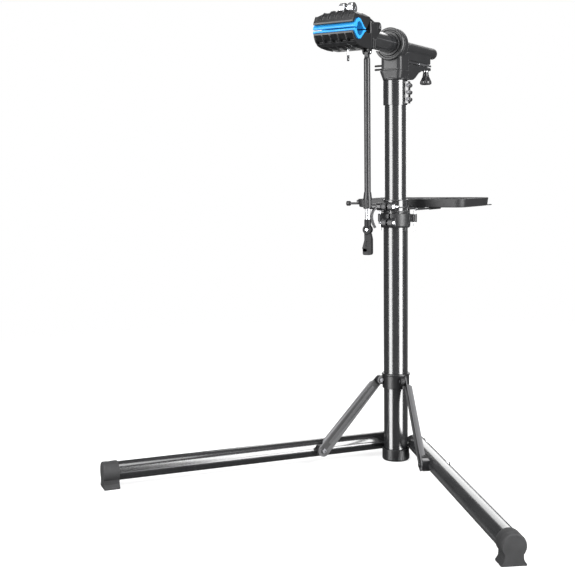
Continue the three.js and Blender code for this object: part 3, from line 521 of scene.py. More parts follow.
LENGTHWAYS = (math.pi / 2, 0, 0)
COAT = coated_tube("gloss charcoal coating")
COAT_ARM = coated_tube("gloss charcoal coating, arm", LENGTHWAYS)
LEG_COATS = {
    side: coated_tube(f"gloss charcoal coating, {name} leg", (math.pi / 2, 0, side * LEG_ANGLE))
    for side, name in SIDES
}
CASTING = moulded_plastic("grey moulded casting", (0.009, 0.0092, 0.010), (0.015, 0.0152, 0.016),
                          rough=(0.34, 0.48))
CASTING_DARK = moulded_plastic("dark moulded casting", (0.006, 0.0061, 0.0065), (0.010, 0.0101, 0.011),
                               rough=(0.32, 0.46))
BLACK = moulded_plastic("black plastic", (0.007, 0.007, 0.0075), (0.012, 0.012, 0.013), rough=(0.28, 0.42))
MATT = moulded_plastic("matt black plastic", (0.005, 0.005, 0.0055), (0.009, 0.009, 0.0095), shine=0.18)
GLOSS = moulded_plastic("gloss black plastic", (0.008, 0.008, 0.009), (0.014, 0.014, 0.015), 0.00004,
                        (0.12, 0.22))
TRAY_PLASTIC = moulded_plastic("tray plastic", (0.008, 0.008, 0.0085), (0.014, 0.014, 0.015), 0.0002)
CHROME = plated_metal("plated steel")
DARK_ZINC = plated_metal("dark plated steel", (0.09, 0.09, 0.095), (0.34, 0.46))
SATIN = plated_metal("satin tube", (0.60, 0.61, 0.63), (0.24, 0.36))
STEEL = painted_steel("painted pressed steel", (0.006, 0.006, 0.0065), (0.010, 0.010, 0.0105))
RUBBER = soft_rubber("foot rubber", (0.012, 0.012, 0.0125), (0.022, 0.022, 0.023))
BLUE = soft_rubber("blue liner rubber", (0.014, 0.175, 0.43), (0.022, 0.23, 0.52), (0.34, 0.48), 0.00012)

# ---------------------------------------------------------------- camera, light and floor


def add_camera():
    """Main view: about 31 degrees round from the front, a little above the tray."""
    data = bpy.data.cameras.new("camera")
    data.sensor_width = 36.0
    data.lens = 63.72
    data.clip_end = 60.0
    camera = bpy.data.objects.new("camera", data)
    bpy.context.scene.collection.objects.link(camera)
    forward = Vector((-0.5129, 0.8515, -0.1085))
    roll = Matrix.Rotation(math.radians(-0.75), 4, "Z")
    facing = forward.to_track_quat("-Z", "Y").to_matrix().to_4x4()
    camera.matrix_world = Matrix.Translation((1.0903, -2.3426, 0.7289)) @ facing @ roll
    bpy.context.scene.camera = camera


def add_softbox(name, azimuth, distance, height, width, tall, power):
    """Upright soft light that faces the post. Azimuth 0 is on the -Y side, 90 on the +X side."""
    data = bpy.data.lights.new(name, "AREA")
    data.shape = "RECTANGLE"
    data.size = width
    data.size_y = tall
    data.energy = power
    light = bpy.data.objects.new(name, data)
    bpy.context.scene.collection.objects.link(light)
    turn = math.radians(azimuth)
    light.location = (distance * math.sin(turn), -distance * math.cos(turn), height)
    aim = Vector((0, 0, 0.65)) - light.location
    light.rotation_euler = aim.to_track_quat("-Z", "Y").to_euler()
    light.visible_camera = False


SOFTBOXES = {
    "left strip": (-25, 3.2, 0.9, 1.8, 4.4, 280),
    "right strip": (76, 3.2, 0.9, 1.8, 4.4, 400),
    "overhead": (10, 0.9, 3.6, 2.2, 2.2, 90),
    "back fill": (200, 3.4, 1.6, 2.4, 2.4, 50),
}
WORLD_LIGHT = 0.13
FLOOR_GLOW = 0.75
FLOOR_RADIUS = 2600
FLOOR_GAP = 0.6


def add_world():
    """White to the camera, dimmer to everything else."""
    world = bpy.data.worlds.new("studio")
    world.use_nodes = True
    tree = world.node_tree
    background = tree.nodes["Background"]
    background.inputs["Color"].default_value = (1.0, 1.0, 1.0, 1.0)
    path = tree.nodes.new("ShaderNodeLightPath")
    level = tree.nodes.new("ShaderNodeMapRange")
    level.inputs["To Min"].default_value = WORLD_LIGHT
    level.inputs["To Max"].default_value = 1.0
    tree.links.new(path.outputs["Is Camera Ray"], level.inputs["Value"])
    tree.links.new(level.outputs["Result"], background.inputs["Strength"])
    bpy.context.scene.world = world


def floor_material():
    """Pale floor that glows for the camera only and fades out towards its rim."""
    n = Nodes("floor")
    tone = n.mix(n.noise(1.5, 3.0), (0.34, 0.34, 0.34), (0.36, 0.36, 0.36))
    distance = n.add("ShaderNodeVectorMath", operation="LENGTH")
    n.join(n.place, distance.inputs[0])
    n.join(n.ramp(distance.outputs["Value"], 1.0, 0.0, 0.8, 2.6), n.shader.inputs["Alpha"])
    glow = n.ramp(n.add("ShaderNodeLightPath").outputs["Is Camera Ray"], 0.0, FLOOR_GLOW)
    n.join(glow, n.shader.inputs["Emission Strength"])
    return n.finish(tone, Roughness=0.9, Specular_IOR_Level=0.2, Emission_Color=(1.0, 1.0, 1.0, 1.0))


def add_stage():
    bpy.context.scene.view_settings.view_transform = "Standard"
    add_world()
    for name, settings in SOFTBOXES.items():
        add_softbox(name, *settings)
    material = floor_material()
    bm = bmesh.new()
    bmesh.ops.create_circle(bm, cap_ends=True, segments=128, radius=FLOOR_RADIUS)
    floor = from_bmesh("floor", bm)
    floor.data.transform(Matrix.Translation((0, 0, -FLOOR_GAP)))
    floor.data.transform(Matrix.Scale(MM, 4))
    floor.data.materials.append(material)
    floor.visible_glossy = False


add_camera()
add_stage()

# ---------------------------------------------------------------- legs and braces


def leg_frame(side):
    """Local axes of one leg: +X out along it, +Y away from the post, +Z up. Side is 1 on the right."""
    s, c = math.sin(LEG_ANGLE), math.cos(LEG_ANGLE)
    return Matrix(((side * s, side * c, 0, 0), (-c, s, 0, 0), (0, 0, 1, 0), (0, 0, 0, 1)))


def across(radius, low, high, x, z, segments=MEDIUM, rounding=0.4):
    """Round bar across a leg, between two distances out from the post's axis."""
    return rod(radius, low, high, segments, "y", (x, 0, z), rounding)


def foot_section(scale=1.0, lift=0.0):
    """Front outline of the rubber foot: round socket, waist and flared sole."""
    right = [(25.5, 0), (25.5, 2.6), (22.6, 6.2), (19.8, 11.5), (19.4, 16.5)]
    right = fillet(right + arc((0, LEG_HEIGHT), 25.2, -40, 90, 16), 2.0, closed=False, steps=2)
    outline = right + [(-x, z) for x, z in reversed(right[:-1])]
    return [(x * scale, lift + (z - lift) * scale) for x, z in outline]


def make_foot():
    """Foot lofted along the leg, with a domed front face and rolled back rim."""
    stations = [(713.0, 0.955), (713.8, 0.99), (716, 1.0), (728, 1.0), (731, 0.985), (735, 0.985),
                (738, 1.0), (747.4, 1.0), (749.4, 0.985), (750.6, 0.95), (751.0, 0.90)]
    bm = bmesh.new()
    rings = []
    for x, scale in stations:
        rings.append([bm.verts.new((x, y, max(0.0, z))) for y, z in foot_section(scale, 22)])
    for ring in rings:
        for vert in ring:
            if vert.co.z < 1.6:
                vert.co.z = 0.0
    count = len(rings[0])
    for low, high in zip(rings, rings[1:]):
        for k in range(count):
            bm.faces.new([low[k], low[(k + 1) % count], high[(k + 1) % count], high[k]])
    bm.faces.new(rings[0])
    bm.faces.new(rings[-1])
    foot = from_bmesh("foot", bm)
    foot = cut(foot, rod(LEG_RADIUS + CLEARANCE, 700, 742, FINE, "x", (0, 0, LEG_HEIGHT), rounding=0))
    for x in (-10, 0, 10):
        cut(foot, block((720, x - 1.4, -5), (748, x + 1.4, 1.6)))
    return place(foot, Matrix.Translation((0, LEG_OFFSET, 0)))


def make_plug():
    """Rounded plastic end of the leg, with the hinge boss on its inner side."""
    low, high = -LEG_RADIUS + LEG_OFFSET, LEG_RADIUS + LEG_OFFSET
    drum = rod(LEG_RADIUS - 0.1, low, high, FINE, "y", (0, 0, LEG_HEIGHT), rounding=1.5)
    trim = rod(LEG_RADIUS - 0.05, -30, 9.5, FINE, "x", (0, LEG_OFFSET, LEG_HEIGHT), rounding=2.0)
    body = combine(drum, [trim], "INTERSECT")
    neck = rod(LEG_RADIUS - 0.05, 0, 9.7, FINE, "x", (0, LEG_OFFSET, LEG_HEIGHT), rounding=0.3)
    inner = rod(LEG_RADIUS - 2.2, 5, 42, MEDIUM, "x", (0, LEG_OFFSET, LEG_HEIGHT), rounding=1)
    boss = rod(12, high - 5, high + 0.1, MEDIUM, "y", (0, 0, LEG_HEIGHT), rounding=0.8)
    body = union(body, neck, inner, boss)
    return cut(body, across(4.8, 20, 90, 0, LEG_HEIGHT, rounding=0))


def make_leg_tube():
    body = tube(LEG_RADIUS, LEG_RADIUS - 1.8, 10, LEG_END, FINE, "x", (0, LEG_OFFSET, LEG_HEIGHT), 0.6)
    return cut(body, across(4.3, 20, 90, BRACE_LEG_PIN, LEG_HEIGHT, rounding=0))


def make_spacer():
    """Saddle block between a brace and the leg tube."""
    body = block((-12, 16.9, -13), (12, 39, 13), 2.2)
    washer = rod(11, 16.8, 20, MEDIUM, "y", rounding=0.5)
    body = union(body, washer)
    place(body, Matrix.Translation((BRACE_LEG_PIN, 0, LEG_HEIGHT)))
    return cut(body, rod(LEG_RADIUS + CLEARANCE, 150, 250, FINE, "x", (0, LEG_OFFSET, LEG_HEIGHT), 0),
               across(4.3, 5, 60, BRACE_LEG_PIN, LEG_HEIGHT, rounding=0))


def make_brace():
    """Pressed channel: a flat web with rolled flanges that stop short of the round pivot ends."""
    reach = BRACE_POST_PIN - BRACE_LEG_PIN
    rise = BRACE_POST_HEIGHT - LEG_HEIGHT
    length = math.hypot(reach, rise)
    low_end = arc((0, 0), 15, 90, 270, 16)
    high_end = arc((length, 0), 11.5, -90, 90, 14)
    outline = low_end + high_end
    outer = prism(outline, 14, 27)
    pocket = prism(fillet([(-60, -12.2), (length + 60, -9.4), (length + 60, 9.4), (-60, 12.2)], 0), 16.5,
                   40)
    bevel(pocket, 1.5, 3, angle=60)
    body = cut(outer, pocket)
    trims = []
    for start, end in (((-40, 13), (-40, 25)), ((length + 40, length - 13), (length + 40, length - 24))):
        shape = [(start[0], 16.6), (start[1], 16.6), (end[1], 34), (end[0], 34)]
        trims.append(front_slab(shape, -30, 30))
    body = cut(body, *trims)
    body = cut(body, rod(4.3, 5, 40, MEDIUM, rounding=0),
               rod(3.6, 5, 40, MEDIUM, at=(length, 0, 0), rounding=0))
    bead = prism(arc((28, 0), 4, 90, 270, 8) + arc((length - 28, 0), 4, -90, 90, 8), 13.2, 14.6, 0.5)
    body = union(body, bead)
    bevel(body, 0.5, 2, angle=50)
    along = Vector((reach / length, 0, rise / length))
    sideways = Vector((-rise / length, 0, reach / length))
    axes = Matrix((along, sideways, (0, 1, 0))).transposed().to_4x4()
    return place(body, Matrix.Translation((BRACE_LEG_PIN, 0, LEG_HEIGHT)) @ axes)


def threaded(radius, low, high, pitch=1.25):
    """Bolt shank with turned grooves for its thread."""
    profile = [(0, low), (radius * 0.8, low)]
    count = int((high - low) / pitch)
    for k in range(count):
        base = low + (high - low) * k / count
        profile.append((radius * 0.88, base))
        profile.append((radius, base + 0.5 * pitch))
    profile += [(radius * 0.8, high), (0, high)]
    return lathe(profile, SMALL)


def build_leg(side, name):
    outside = LEG_OFFSET + LEG_RADIUS + CLEARANCE
    turn = leg_frame(side)
    body = f"{name}_leg"

    def leg_piece(piece, kind, material, nodes, rides=body, angle=32):
        deliver(place(piece, turn), f"{name}_{kind}_look", material, rides, nodes, angle)

    leg_piece(make_leg_tube(), "leg_tube", LEG_COATS[side], [f"{name}_leg_tube"])
    leg_piece(make_plug(), "leg_plug", BLACK, [f"{name}_leg_plug"])
    leg_piece(make_foot(), "foot", RUBBER, [f"{name}_foot"])
    leg_piece(make_spacer(), "brace_spacer", BLACK, [f"{name}_brace_spacer"])
    leg_piece(make_brace(), "brace", STEEL, [f"{name}_brace"], f"{name}_brace")

    head = screw_head(8, 6, hexagonal=True, socket=False, axis="y", at=(0, outside, LEG_HEIGHT))
    washer = rod(9.5, outside, outside + 1.0, MEDIUM, "y", (0, 0, LEG_HEIGHT))
    shank = across(4.5, 16, outside + 1, 0, LEG_HEIGHT)
    leg_piece(joined("bolt", head, washer, shank), "hinge_bolt", CHROME,
              [f"{name}_hinge_bolt"], "base")

    cap = screw_head(6.6, 3.4, socket=True, axis="y")
    place(cap, Matrix.Translation((BRACE_LEG_PIN, 13.7, LEG_HEIGHT)) @ Matrix.Rotation(math.pi, 4, "X"))
    thread = place(threaded(4, outside - 1, outside + 10.8),
                   turn_matrix("y", (BRACE_LEG_PIN, 0, LEG_HEIGHT)))
    shank = across(4, 12, outside - 0.5, BRACE_LEG_PIN, LEG_HEIGHT)
    leg_piece(joined("pin", cap, shank, thread), "brace_bolt", DARK_ZINC, [f"{name}_brace_bolt"])
    nut = screw_head(7.5, 6.5, hexagonal=True, socket=False, axis="y",
                     at=(BRACE_LEG_PIN, outside, LEG_HEIGHT))
    nut = cut(nut, across(4.3, outside - 5, outside + 20, BRACE_LEG_PIN, LEG_HEIGHT, rounding=0))
    leg_piece(nut, "brace_nut", CHROME, [f"{name}_brace_nut"])

    pin = joined("pin", across(3.2, 0.2, 13.4, BRACE_POST_PIN, BRACE_POST_HEIGHT),
                 across(5.4, -0.5, 2.2, BRACE_POST_PIN, BRACE_POST_HEIGHT, rounding=0.8))
    leg_piece(pin, "slider_pin", DARK_ZINC, [f"{name}_slider_pin"], "slider")


def build_slider():
    """Plastic collar that slides on the post: rolled top lip, two lugs, two notches for the braces."""
    low, high = node_box("brace_slider")
    bottom, top = low.z, high.z
    profile = [(POST_RADIUS + CLEARANCE, bottom), (34.3, bottom), (34.3, top - 5.5), (36, top - 4.2),
               (36, top), (POST_RADIUS + CLEARANCE, top)]
    collar = lathe(profile, FINE, rounding=0.9)
    lugs = []
    for side in (1, -1):
        turn = leg_frame(side)
        notch = place(block((24, 13.5, bottom - 5), (60, 50, top - 5)), turn)
        collar = cut(collar, notch)
        outline = arc((BRACE_POST_PIN, BRACE_POST_HEIGHT), 11, -90, 90, 18)
        outline += [(29, BRACE_POST_HEIGHT + 11), (29, BRACE_POST_HEIGHT - 13)]
        lug = front_slab(outline, 2.6, 13.4, 1.2)
        lug = cut(lug, across(3.5, -5, 30, BRACE_POST_PIN, BRACE_POST_HEIGHT, rounding=0))
        lugs.append(place(lug, turn))
    collar = union(collar, *lugs)
    collar = cut(collar, rod(POST_RADIUS + CLEARANCE, bottom - 5, top + 5, FINE, rounding=0))
    stand_in(collar, "brace_slider", BLACK, "slider")


# ---------------------------------------------------------------- post, collars and tray


def build_post():
    low, high = node_box("lower_tube")
    stand_in(tube(POST_RADIUS, POST_RADIUS - 1.8, low.z, high.z, rounding=0.7), "lower_tube", COAT, "base")
    cap_top = node_box("post_cap")[1].z
    cap = lathe([(0, 0), (32.4, 0), (35, 3.4), (35, cap_top), (POST_RADIUS + CLEARANCE, cap_top),
                 (POST_RADIUS + CLEARANCE, 8), (0, 8)], FINE, rounding=1.1)
    for side in (1, -1):
        turn = leg_frame(side)
        seat = across(LEG_RADIUS + 1.5, LEG_OFFSET - LEG_RADIUS - 0.3, 60, 0, LEG_HEIGHT, FINE, 0)
        channel = block((0, 31.2, LEG_HEIGHT - LEG_RADIUS - 1.5), (60, 60, 60))
        cut(cap, place(seat, turn), place(channel, turn))
    for k in range(20):
        angle = 2 * math.pi * k / 20
        cut(cap, rod(0.9, 5, 12, 12, "z", (35.2 * math.cos(angle), 35.2 * math.sin(angle), 0), 0))
    stand_in(cap, "post_cap", BLACK, "base")
    bush_low, bush_high = node_box("post_bush")
    bush = tube(28.3, MAST_RADIUS + CLEARANCE, bush_low.z, bush_high.z, rounding=0.3)
    stand_in(bush, "post_bush", BLACK, "base")


COLLAR_RADII = {"height_collar": 34, "tray_collar": 37}


def split_collar(node, bolt_y, bolt_z):
    """Moulded ring with a slit and two clamping ears in front; ribs and a stepped lower rim."""
    low, high = node_box(node)
    bottom, top = low.z, high.z
    radius = COLLAR_RADII[node]
    profile = [(POST_RADIUS + 3.5, bottom), (radius - 2.5, bottom), (radius, bottom + 5.5),
               (radius, top - 3), (radius - 1.6, top), (POST_RADIUS + 3.5, top)]
    ring = lathe(profile, FINE, rounding=1.2)
    ears = []
    for side in (1, -1):
        outline = fillet([(bolt_y - 9, bolt_z - 9), (bolt_y - 9, bolt_z + 9), (-24, bolt_z + 11),
                          (-24, bolt_z - 11)], [8, 8, 0, 0], steps=6)
        ears.append(side_slab([(-y, z) for y, z in outline], *span(side, 2.3, 14.8), 1.2))
    return [ring, *ears]


def finish_collar(piece, node, bolt_y, bolt_z):
    low, high = node_box(node)
    slit = block((-2.2, bolt_y - 20, low.z - 5), (2.2, -20, high.z + 5))
    bore = rod(3.3, -40, 40, SMALL, "x", (0, bolt_y, bolt_z), 0)
    return cut(piece, slit, bore, rod(POST_RADIUS + CLEARANCE, low.z - 9, high.z + 9, FINE, rounding=0))


def build_height_collar():
    pin_low, pin_high = node_box("height_nut")
    y = (pin_low.y + pin_high.y) / 2
    z = (pin_low.z + pin_high.z) / 2
    ring = split_collar("height_collar", y, z)
    low = node_box("height_collar")[0]
    band = tube(34.6, 31, low.z + 12, low.z + 15, rounding=0.5)
    ring = cast(0.9, 2, *ring, band)
    stand_in(finish_collar(ring, "height_collar", y, z), "height_collar", CASTING, "base")
    build_height_skewer(pin_low.x, y, z)
    build_height_lever(y, z)


def build_height_skewer(nut_x, y, z):
    skewer = joined("skewer", rod(2.8, -36, 30, SMALL, "x", (0, y, z)),
                    rod(6.2, -37, -29, MEDIUM, "x", (0, y, z), 1.6))
    stand_in(skewer, "height_skewer", CHROME, "base")
    nut = screw_head(7.5, 6.6, hexagonal=True, socket=False, axis="x", at=(nut_x, y, z))
    nut = cut(nut, rod(3.1, 0, 40, SMALL, "x", (0, y, z), 0))
    stand_in(nut, "height_nut", CHROME, "base")


def build_height_lever(y, z):
    hub = rod(9.5, -28.7, -15.3, MEDIUM, "x", (0, y, z), 1.6)
    handle = lever_blade([(-24, -3, 1), (-31, -12, -6), (-35.5, -16.5, -20), (-32.5, -18, -38),
                          (-26, -18, -52)], (0, y, z))
    lever = cast(0.6, 3, hub, handle)
    lever = cut(lever, rod(3.1, -60, 0, SMALL, "x", (0, y, z), 0),
                rod(6.6, -60, -28.7, SMALL, "x", (0, y, z), 0))
    stand_in(lever, "height_lever", GLOSS, "height_lever")


def lever_blade(points, at):
    """Curved round handle through points measured from its hub."""
    return sweep([Vector(p) + Vector(at) for p in points], 3.5, 24, 10)


def build_tray_collar():
    bolt_low, bolt_high = node_box("tray_bolt")
    y = (bolt_low.y + bolt_high.y) / 2
    z = (bolt_low.z + bolt_high.z) / 2
    low, high = node_box("tray_collar")
    ring = split_collar("tray_collar", y, z)
    boss_low, boss_high = low.z + 14, high.z - 3
    rod_low, rod_high = node_box("right_tray_rod")
    boss_x = (rod_low.x + rod_high.x) / 2
    for side in (1, -1):
        boss = rod(6.4, boss_low, boss_high, MEDIUM, "z", (side * boss_x, 10, 0), 1.2)
        x_low, x_high = span(side, 31, boss_x)
        ring += [boss, block((x_low, 5, boss_low + 0.5), (x_high, 15, boss_high - 0.5), 1.5)]
    ring.append(block((-17, 30, high.z - 14), (17, 50, high.z), 2.0))
    ring = cast(0.9, 2, *ring)
    ring = finish_collar(ring, "tray_collar", y, z)
    for side in (1, -1):
        ring = cut(ring, rod(2.9, 500, 700, SMALL, "z", (side * boss_x, 10, 0), 0))
    stand_in(ring, "tray_collar", CASTING, "base")
    head = screw_head(6, 4.6, axis="x", at=(15.3, y, z))
    shank = place(threaded(3, -24, 15), turn_matrix("x", (0, y, z)))
    stand_in(joined("bolt", head, shank), "tray_bolt", CHROME, "base")


def rounded_rectangle(x0, y0, x1, y1, radius, steps=8):
    corners = [((x1 - radius, y0 + radius), -90), ((x1 - radius, y1 - radius), 0),
               ((x0 + radius, y1 - radius), 90), ((x0 + radius, y0 + radius), 180)]
    outline = []
    for centre, start in corners:
        outline += arc(centre, radius, start, start + 90, steps)
    return outline


def drafted(outline, low, high, inset, edge, centre):
    """Prism whose bottom is a little smaller than its top, with a rounded bottom edge."""
    shrink = 1 - inset / max(abs(x - centre[0]) for x, _ in outline)
    bm = bmesh.new()
    levels = [(low, shrink, edge), (low + edge * 0.3, shrink, edge * 0.3), (low + edge, shrink, 0),
              (high, 1, 0)]
    rings = []
    for z, scale, pull in levels:
        ring = []
        for x, y in outline:
            offset = Vector((x - centre[0], y - centre[1])) * scale
            offset -= offset.normalized() * pull
            ring.append(bm.verts.new((centre[0] + offset.x, centre[1] + offset.y, z)))
        rings.append(ring)
    count = len(outline)
    for a, b in zip(rings, rings[1:]):
        for k in range(count):
            bm.faces.new([a[k], a[(k + 1) % count], b[(k + 1) % count], b[k]])
    bm.faces.new(rings[0])
    bm.faces.new(rings[-1])
    return from_bmesh("drafted", bm)


def tray_basin(half, front, back, bottom, top):
    """Shallow box with a rolled rim and three wells."""
    centre = (0, (front + back) / 2)
    body = drafted(rounded_rectangle(-half, front, half, back, 22), bottom, top - 1.4, 2.0, 3.5, centre)
    rim = prism(rounded_rectangle(-half, front, half, back, 22), top - 4.2, top, 1.4)
    body = union(body, rim)
    split = 40
    wells = [(-half + 6, front + 6, split - 4, 170, 14), (split + 4, front + 6, half - 6, 170, 14),
             (-half + 6, 178, half - 6, back - 6, 10)]
    for x0, y0, x1, y1, radius in wells:
        well = drafted(rounded_rectangle(x0, y0, x1, y1, radius), bottom + 3, top + 6, 1.2, 3.0,
                       ((x0 + x1) / 2, (y0 + y1) / 2))
        body = cut(body, well)
    return body


def tray_shelf(half, back, bottom, top):
    """Low shelf behind the basin, with a row of tool holes."""
    outline = rounded_rectangle(-half, back - 30, half, back + TRAY_LIP, 22)
    shelf = prism(outline, bottom + 0.5, bottom + 2.7, 0.7)
    for k in range(10):
        shelf = cut(shelf, rod(5, bottom - 5, top + 5, SMALL, "z", (-108 + 24 * k, back + 14, 0), 0))
    return shelf


def tray_peg(half, top):
    peg = rod(3, -half - 24, -half + 3, MEDIUM, "x", (0, 88, top - 12), 0.4)
    peg_head = rod(6.5, -half - 32, -half - 22, MEDIUM, "x", (0, 88, top - 12), 1.6)
    return union(peg, peg_head)


def tray_dish(bottom):
    """Round rim and the raised plate inside it, for small parts."""
    ring = lathe([(28, bottom + 2), (34, bottom + 2), (34, bottom + 13), (28, bottom + 13)], FINE, "z",
                 (88, 124, 0), 1.6)
    plate = lathe([(0, bottom + 2), (29, bottom + 2), (29, bottom + 5.6), (24, bottom + 6),
                   (24, bottom + 4.2), (0, bottom + 4.2)], MEDIUM, "z", (88, 124, 0), 0.4)
    return ring, plate


def build_tray():
    """Moulded tool tray: three wells, a round dish, tool holes behind, and a peg and hooks on its left."""
    low, high = node_box("tool_tray")
    half = high.x
    front, bottom, top = low.y, low.z, high.z
    back = high.y - TRAY_LIP
    body = tray_basin(half, front, back, bottom, top)
    shelf = tray_shelf(half, back, bottom, top)
    peg = tray_peg(half, top)
    body = union(body, *tray_dish(bottom))
    for y in (110, 150, 215):
        hook = block((-half - 10, y - 9, top - 9), (-half + 3, y + 9, top - 3), 1.2)
        notch = prism(rounded_rectangle(-half - 16, y - 3.5, -half - 3, y + 3.5, 3.2), top - 12, top)
        body = union(body, cut(hook, notch))
    for x in (-90, -20, 88):
        body = union(body, block((x - 1.2, front + 20, bottom - 0.2), (x + 1.2, back - 40, bottom + 2)))
    bevel(body, 0.5, 2, angle=55)
    stand_in(joined("tray", body, shelf, peg), "tool_tray", TRAY_PLASTIC, "base")


def build_tray_supports():
    low, high = node_box("tray_bracket")
    plate = block((-15, 50.4, high.z - 4.7), (15, high.y, high.z), 1.0)
    wall = block((-15, 50.4, low.z), (15, 55, high.z - 1), 1.0)
    gusset = side_slab([(-52, high.z - 2), (-52, low.z + 4), (-84, high.z - 3)], -2, 2)
    bracket = union(plate, wall, gusset)
    stand_in(bracket, "tray_bracket", STEEL, "base")
    for name in ("right", "left"):
        rod_low, rod_high = node_box(f"{name}_tray_rod")
        x = (rod_low.x + rod_high.x) / 2
        z = rod_high.z - 2.6
        points = [(x, 10, rod_low.z), (x, 10, z - 24), (x, 10, z - 10), (x, 13.5, z - 2.6), (x, 21, z),
                  (x, 40, z), (x, rod_high.y, z)]
        wire = sweep(points, 2.3, 24, 8)
        sleeve = rod(3.3, 105, 175, MEDIUM, "y", (x, 0, z - 0.2), 0.8)
        deliver(sleeve, f"{name}_rod_sleeve_look", BLACK, "base")
        stand_in(wire, f"{name}_tray_rod", CHROME, "base")


# ---------------------------------------------------------------- mast and head


def build_mast():
    low, high = node_box("upper_tube")
    stand_in(tube(MAST_RADIUS, MAST_RADIUS - 2, low.z, high.z, rounding=0.5), "upper_tube", COAT, "mast")
    heights = [middle(f"sleeve_bolt_{k}").z for k in (1, 2, 3)]
    bolt_x = middle("sleeve_bolt_1").x
    build_head_sleeve(bolt_x, heights)
    build_sleeve_bolts(bolt_x, heights)


def build_head_sleeve(bolt_x, heights):
    """Split sleeve at the top of the mast, with two wings that its bolts pull together."""
    low, high = node_box("head_sleeve")
    grip = MAST_RADIUS + CLEARANCE
    sleeve = lathe([(grip, low.z), (30.5, low.z), (30.5, high.z), (grip, high.z)], FINE, rounding=0.8)
    wings = front_slab([(24, low.z + 3), (high.x - 5, low.z + 3), (high.x - 5, high.z - 3),
                        (24, high.z - 3)], -7, 7, 1.2)
    sleeve = union(sleeve, wings)
    for z in heights:
        sleeve = union(sleeve, rod(5.6, -8, 8, MEDIUM, "y", (bolt_x, 0, z), 1.0))
    slit = block((22, -2, low.z - 5), (60, 2, high.z + 5))
    sleeve = cut(sleeve, slit, rod(grip, low.z - 5, high.z + 5, FINE, rounding=0))
    for z in heights:
        sleeve = cut(sleeve, rod(2.8, -20, 20, SMALL, "y", (bolt_x, 0, z), 0))
    stand_in(sleeve, "head_sleeve", COAT, "mast")


def build_sleeve_bolts(bolt_x, heights):
    for k, z in enumerate(heights):
        head = screw_head(4.6, 4.2)
        place(head, Matrix.Translation((bolt_x, -8.3, z)) @ Matrix.Rotation(math.pi / 2, 4, "X"))
        shank = place(threaded(2.5, -8.3, 9.8), turn_matrix("y", (bolt_x, 0, z)))
        stand_in(joined("bolt", head, shank), f"sleeve_bolt_{k + 1}", DARK_ZINC, "mast")


def head_slab(outline, half_width, edge=1.2, radius=0):
    """Slab along the head's barrel, from [back, height above the arm's axis] points."""
    return arm_slab([(-back, height) for back, height in outline], -half_width, half_width, edge, radius)


def head_shape():
    """Casting on top of the mast: bowl, boxed neck, thrust disc, barrel and its split clamp underneath."""
    low, high = node_box("head_casting")
    seam = low.z + 23.2
    bowl = prism(rounded_rectangle(-30.5, -30.5, 30.5, 30.5, 28), low.z, low.z + 6, 2.0)
    shoulder = drafted(rounded_rectangle(-31.5, -34.5, 31.5, 28, 14), low.z + 1, seam, 5.0, 5.0, (0, 0))
    neck = prism(rounded_rectangle(-28.2, -27.7, 28.2, 26, 9), seam - 3, AXIS_Z - 18, 1.5)
    front_panel = prism(rounded_rectangle(-20, -28.8, 20, -20, 3), seam + 4, AXIS_Z - 34, 1.0)
    disc = rod(39.4, -27.7, -8, FINE, "y", ARM_AXIS, 1.8)
    cone = lathe([(0, -9), (35.5, -9), (29, 2), (21.5, 30), (18, 40), (0, 40)], FINE, "y", ARM_AXIS, 5)
    end = high.y
    barrel = lathe([(0, -10), (14.7, -10), (14.7, end - 5), (9.0, end), (0, end)], FINE, "y", ARM_AXIS,
                   [0, 0, 7, 5, 0], 8)
    upper = head_slab([(10, -4), (197, -4), (197, -32), (10, -32)], 10.5, 1.6, [0, 0, 5, 0])
    lower = head_slab([(5, -40), (197, -40), (197, -48), (166, -48), (142, -52), (118, -60), (98, -73),
                       (84, -79), (60, -81), (5, -81)], 12, 2.2, [0, 4, 3, 12, 30, 30, 14, 10, 6, 0])
    web = head_slab([(5, -30), (45, -30), (45, -42), (5, -42)], 12, 1.0)
    rib = head_slab([(20, 4), (150, 4), (150, 11), (20, 19)], 2.2, 0.6)
    return cast(0.95, 3, bowl, shoulder, neck, front_panel, disc, cone, barrel, upper, lower, web, rib)


def build_head():
    knob_y = middle("lock_knob").y
    bores = [rod(11, -60, 205, FINE, "y", ARM_AXIS, 0),
             rod(MAST_RADIUS + CLEARANCE, 800, node_box("upper_tube")[1].z + CLEARANCE, FINE, rounding=0),
             rod(4.3, AXIS_Z - 90, AXIS_Z - 20, MEDIUM, "z", (0, knob_y, 0), 0)]
    screw_heights = [middle(f"neck_screw_{k}").z for k in (1, 2)]
    bores += [rod(3, -60, -18, SMALL, "x", (0, -12, z), 0) for z in screw_heights]
    body = cut(head_shape(), *bores)
    stand_in(body, "head_casting", CASTING, "mast", 40)
    filler = head_slab([(46, -33.2), (118, -33.2), (118, -38.8), (46, -38.8)], 10.2, 0.4)
    deliver(filler, "head_filler_look", BLACK, "mast")
    strip = head_slab([(118.4, -33.4), (196.4, -33.4), (196.4, -38.6), (118.4, -38.6)], 12.4, 0.6)
    strip = cut(strip, rod(4.6, AXIS_Z - 90, AXIS_Z - 20, MEDIUM, "z", (0, knob_y, 0), 0))
    deliver(strip, "clamp_strip_look", SATIN, "mast")
    for k, z in enumerate(screw_heights):
        shank = place(threaded(2.6, -50.4, -18.6, 1.6), turn_matrix("x", (0, -12, z)))
        stand_in(shank, f"neck_screw_{k + 1}", STEEL, "mast")


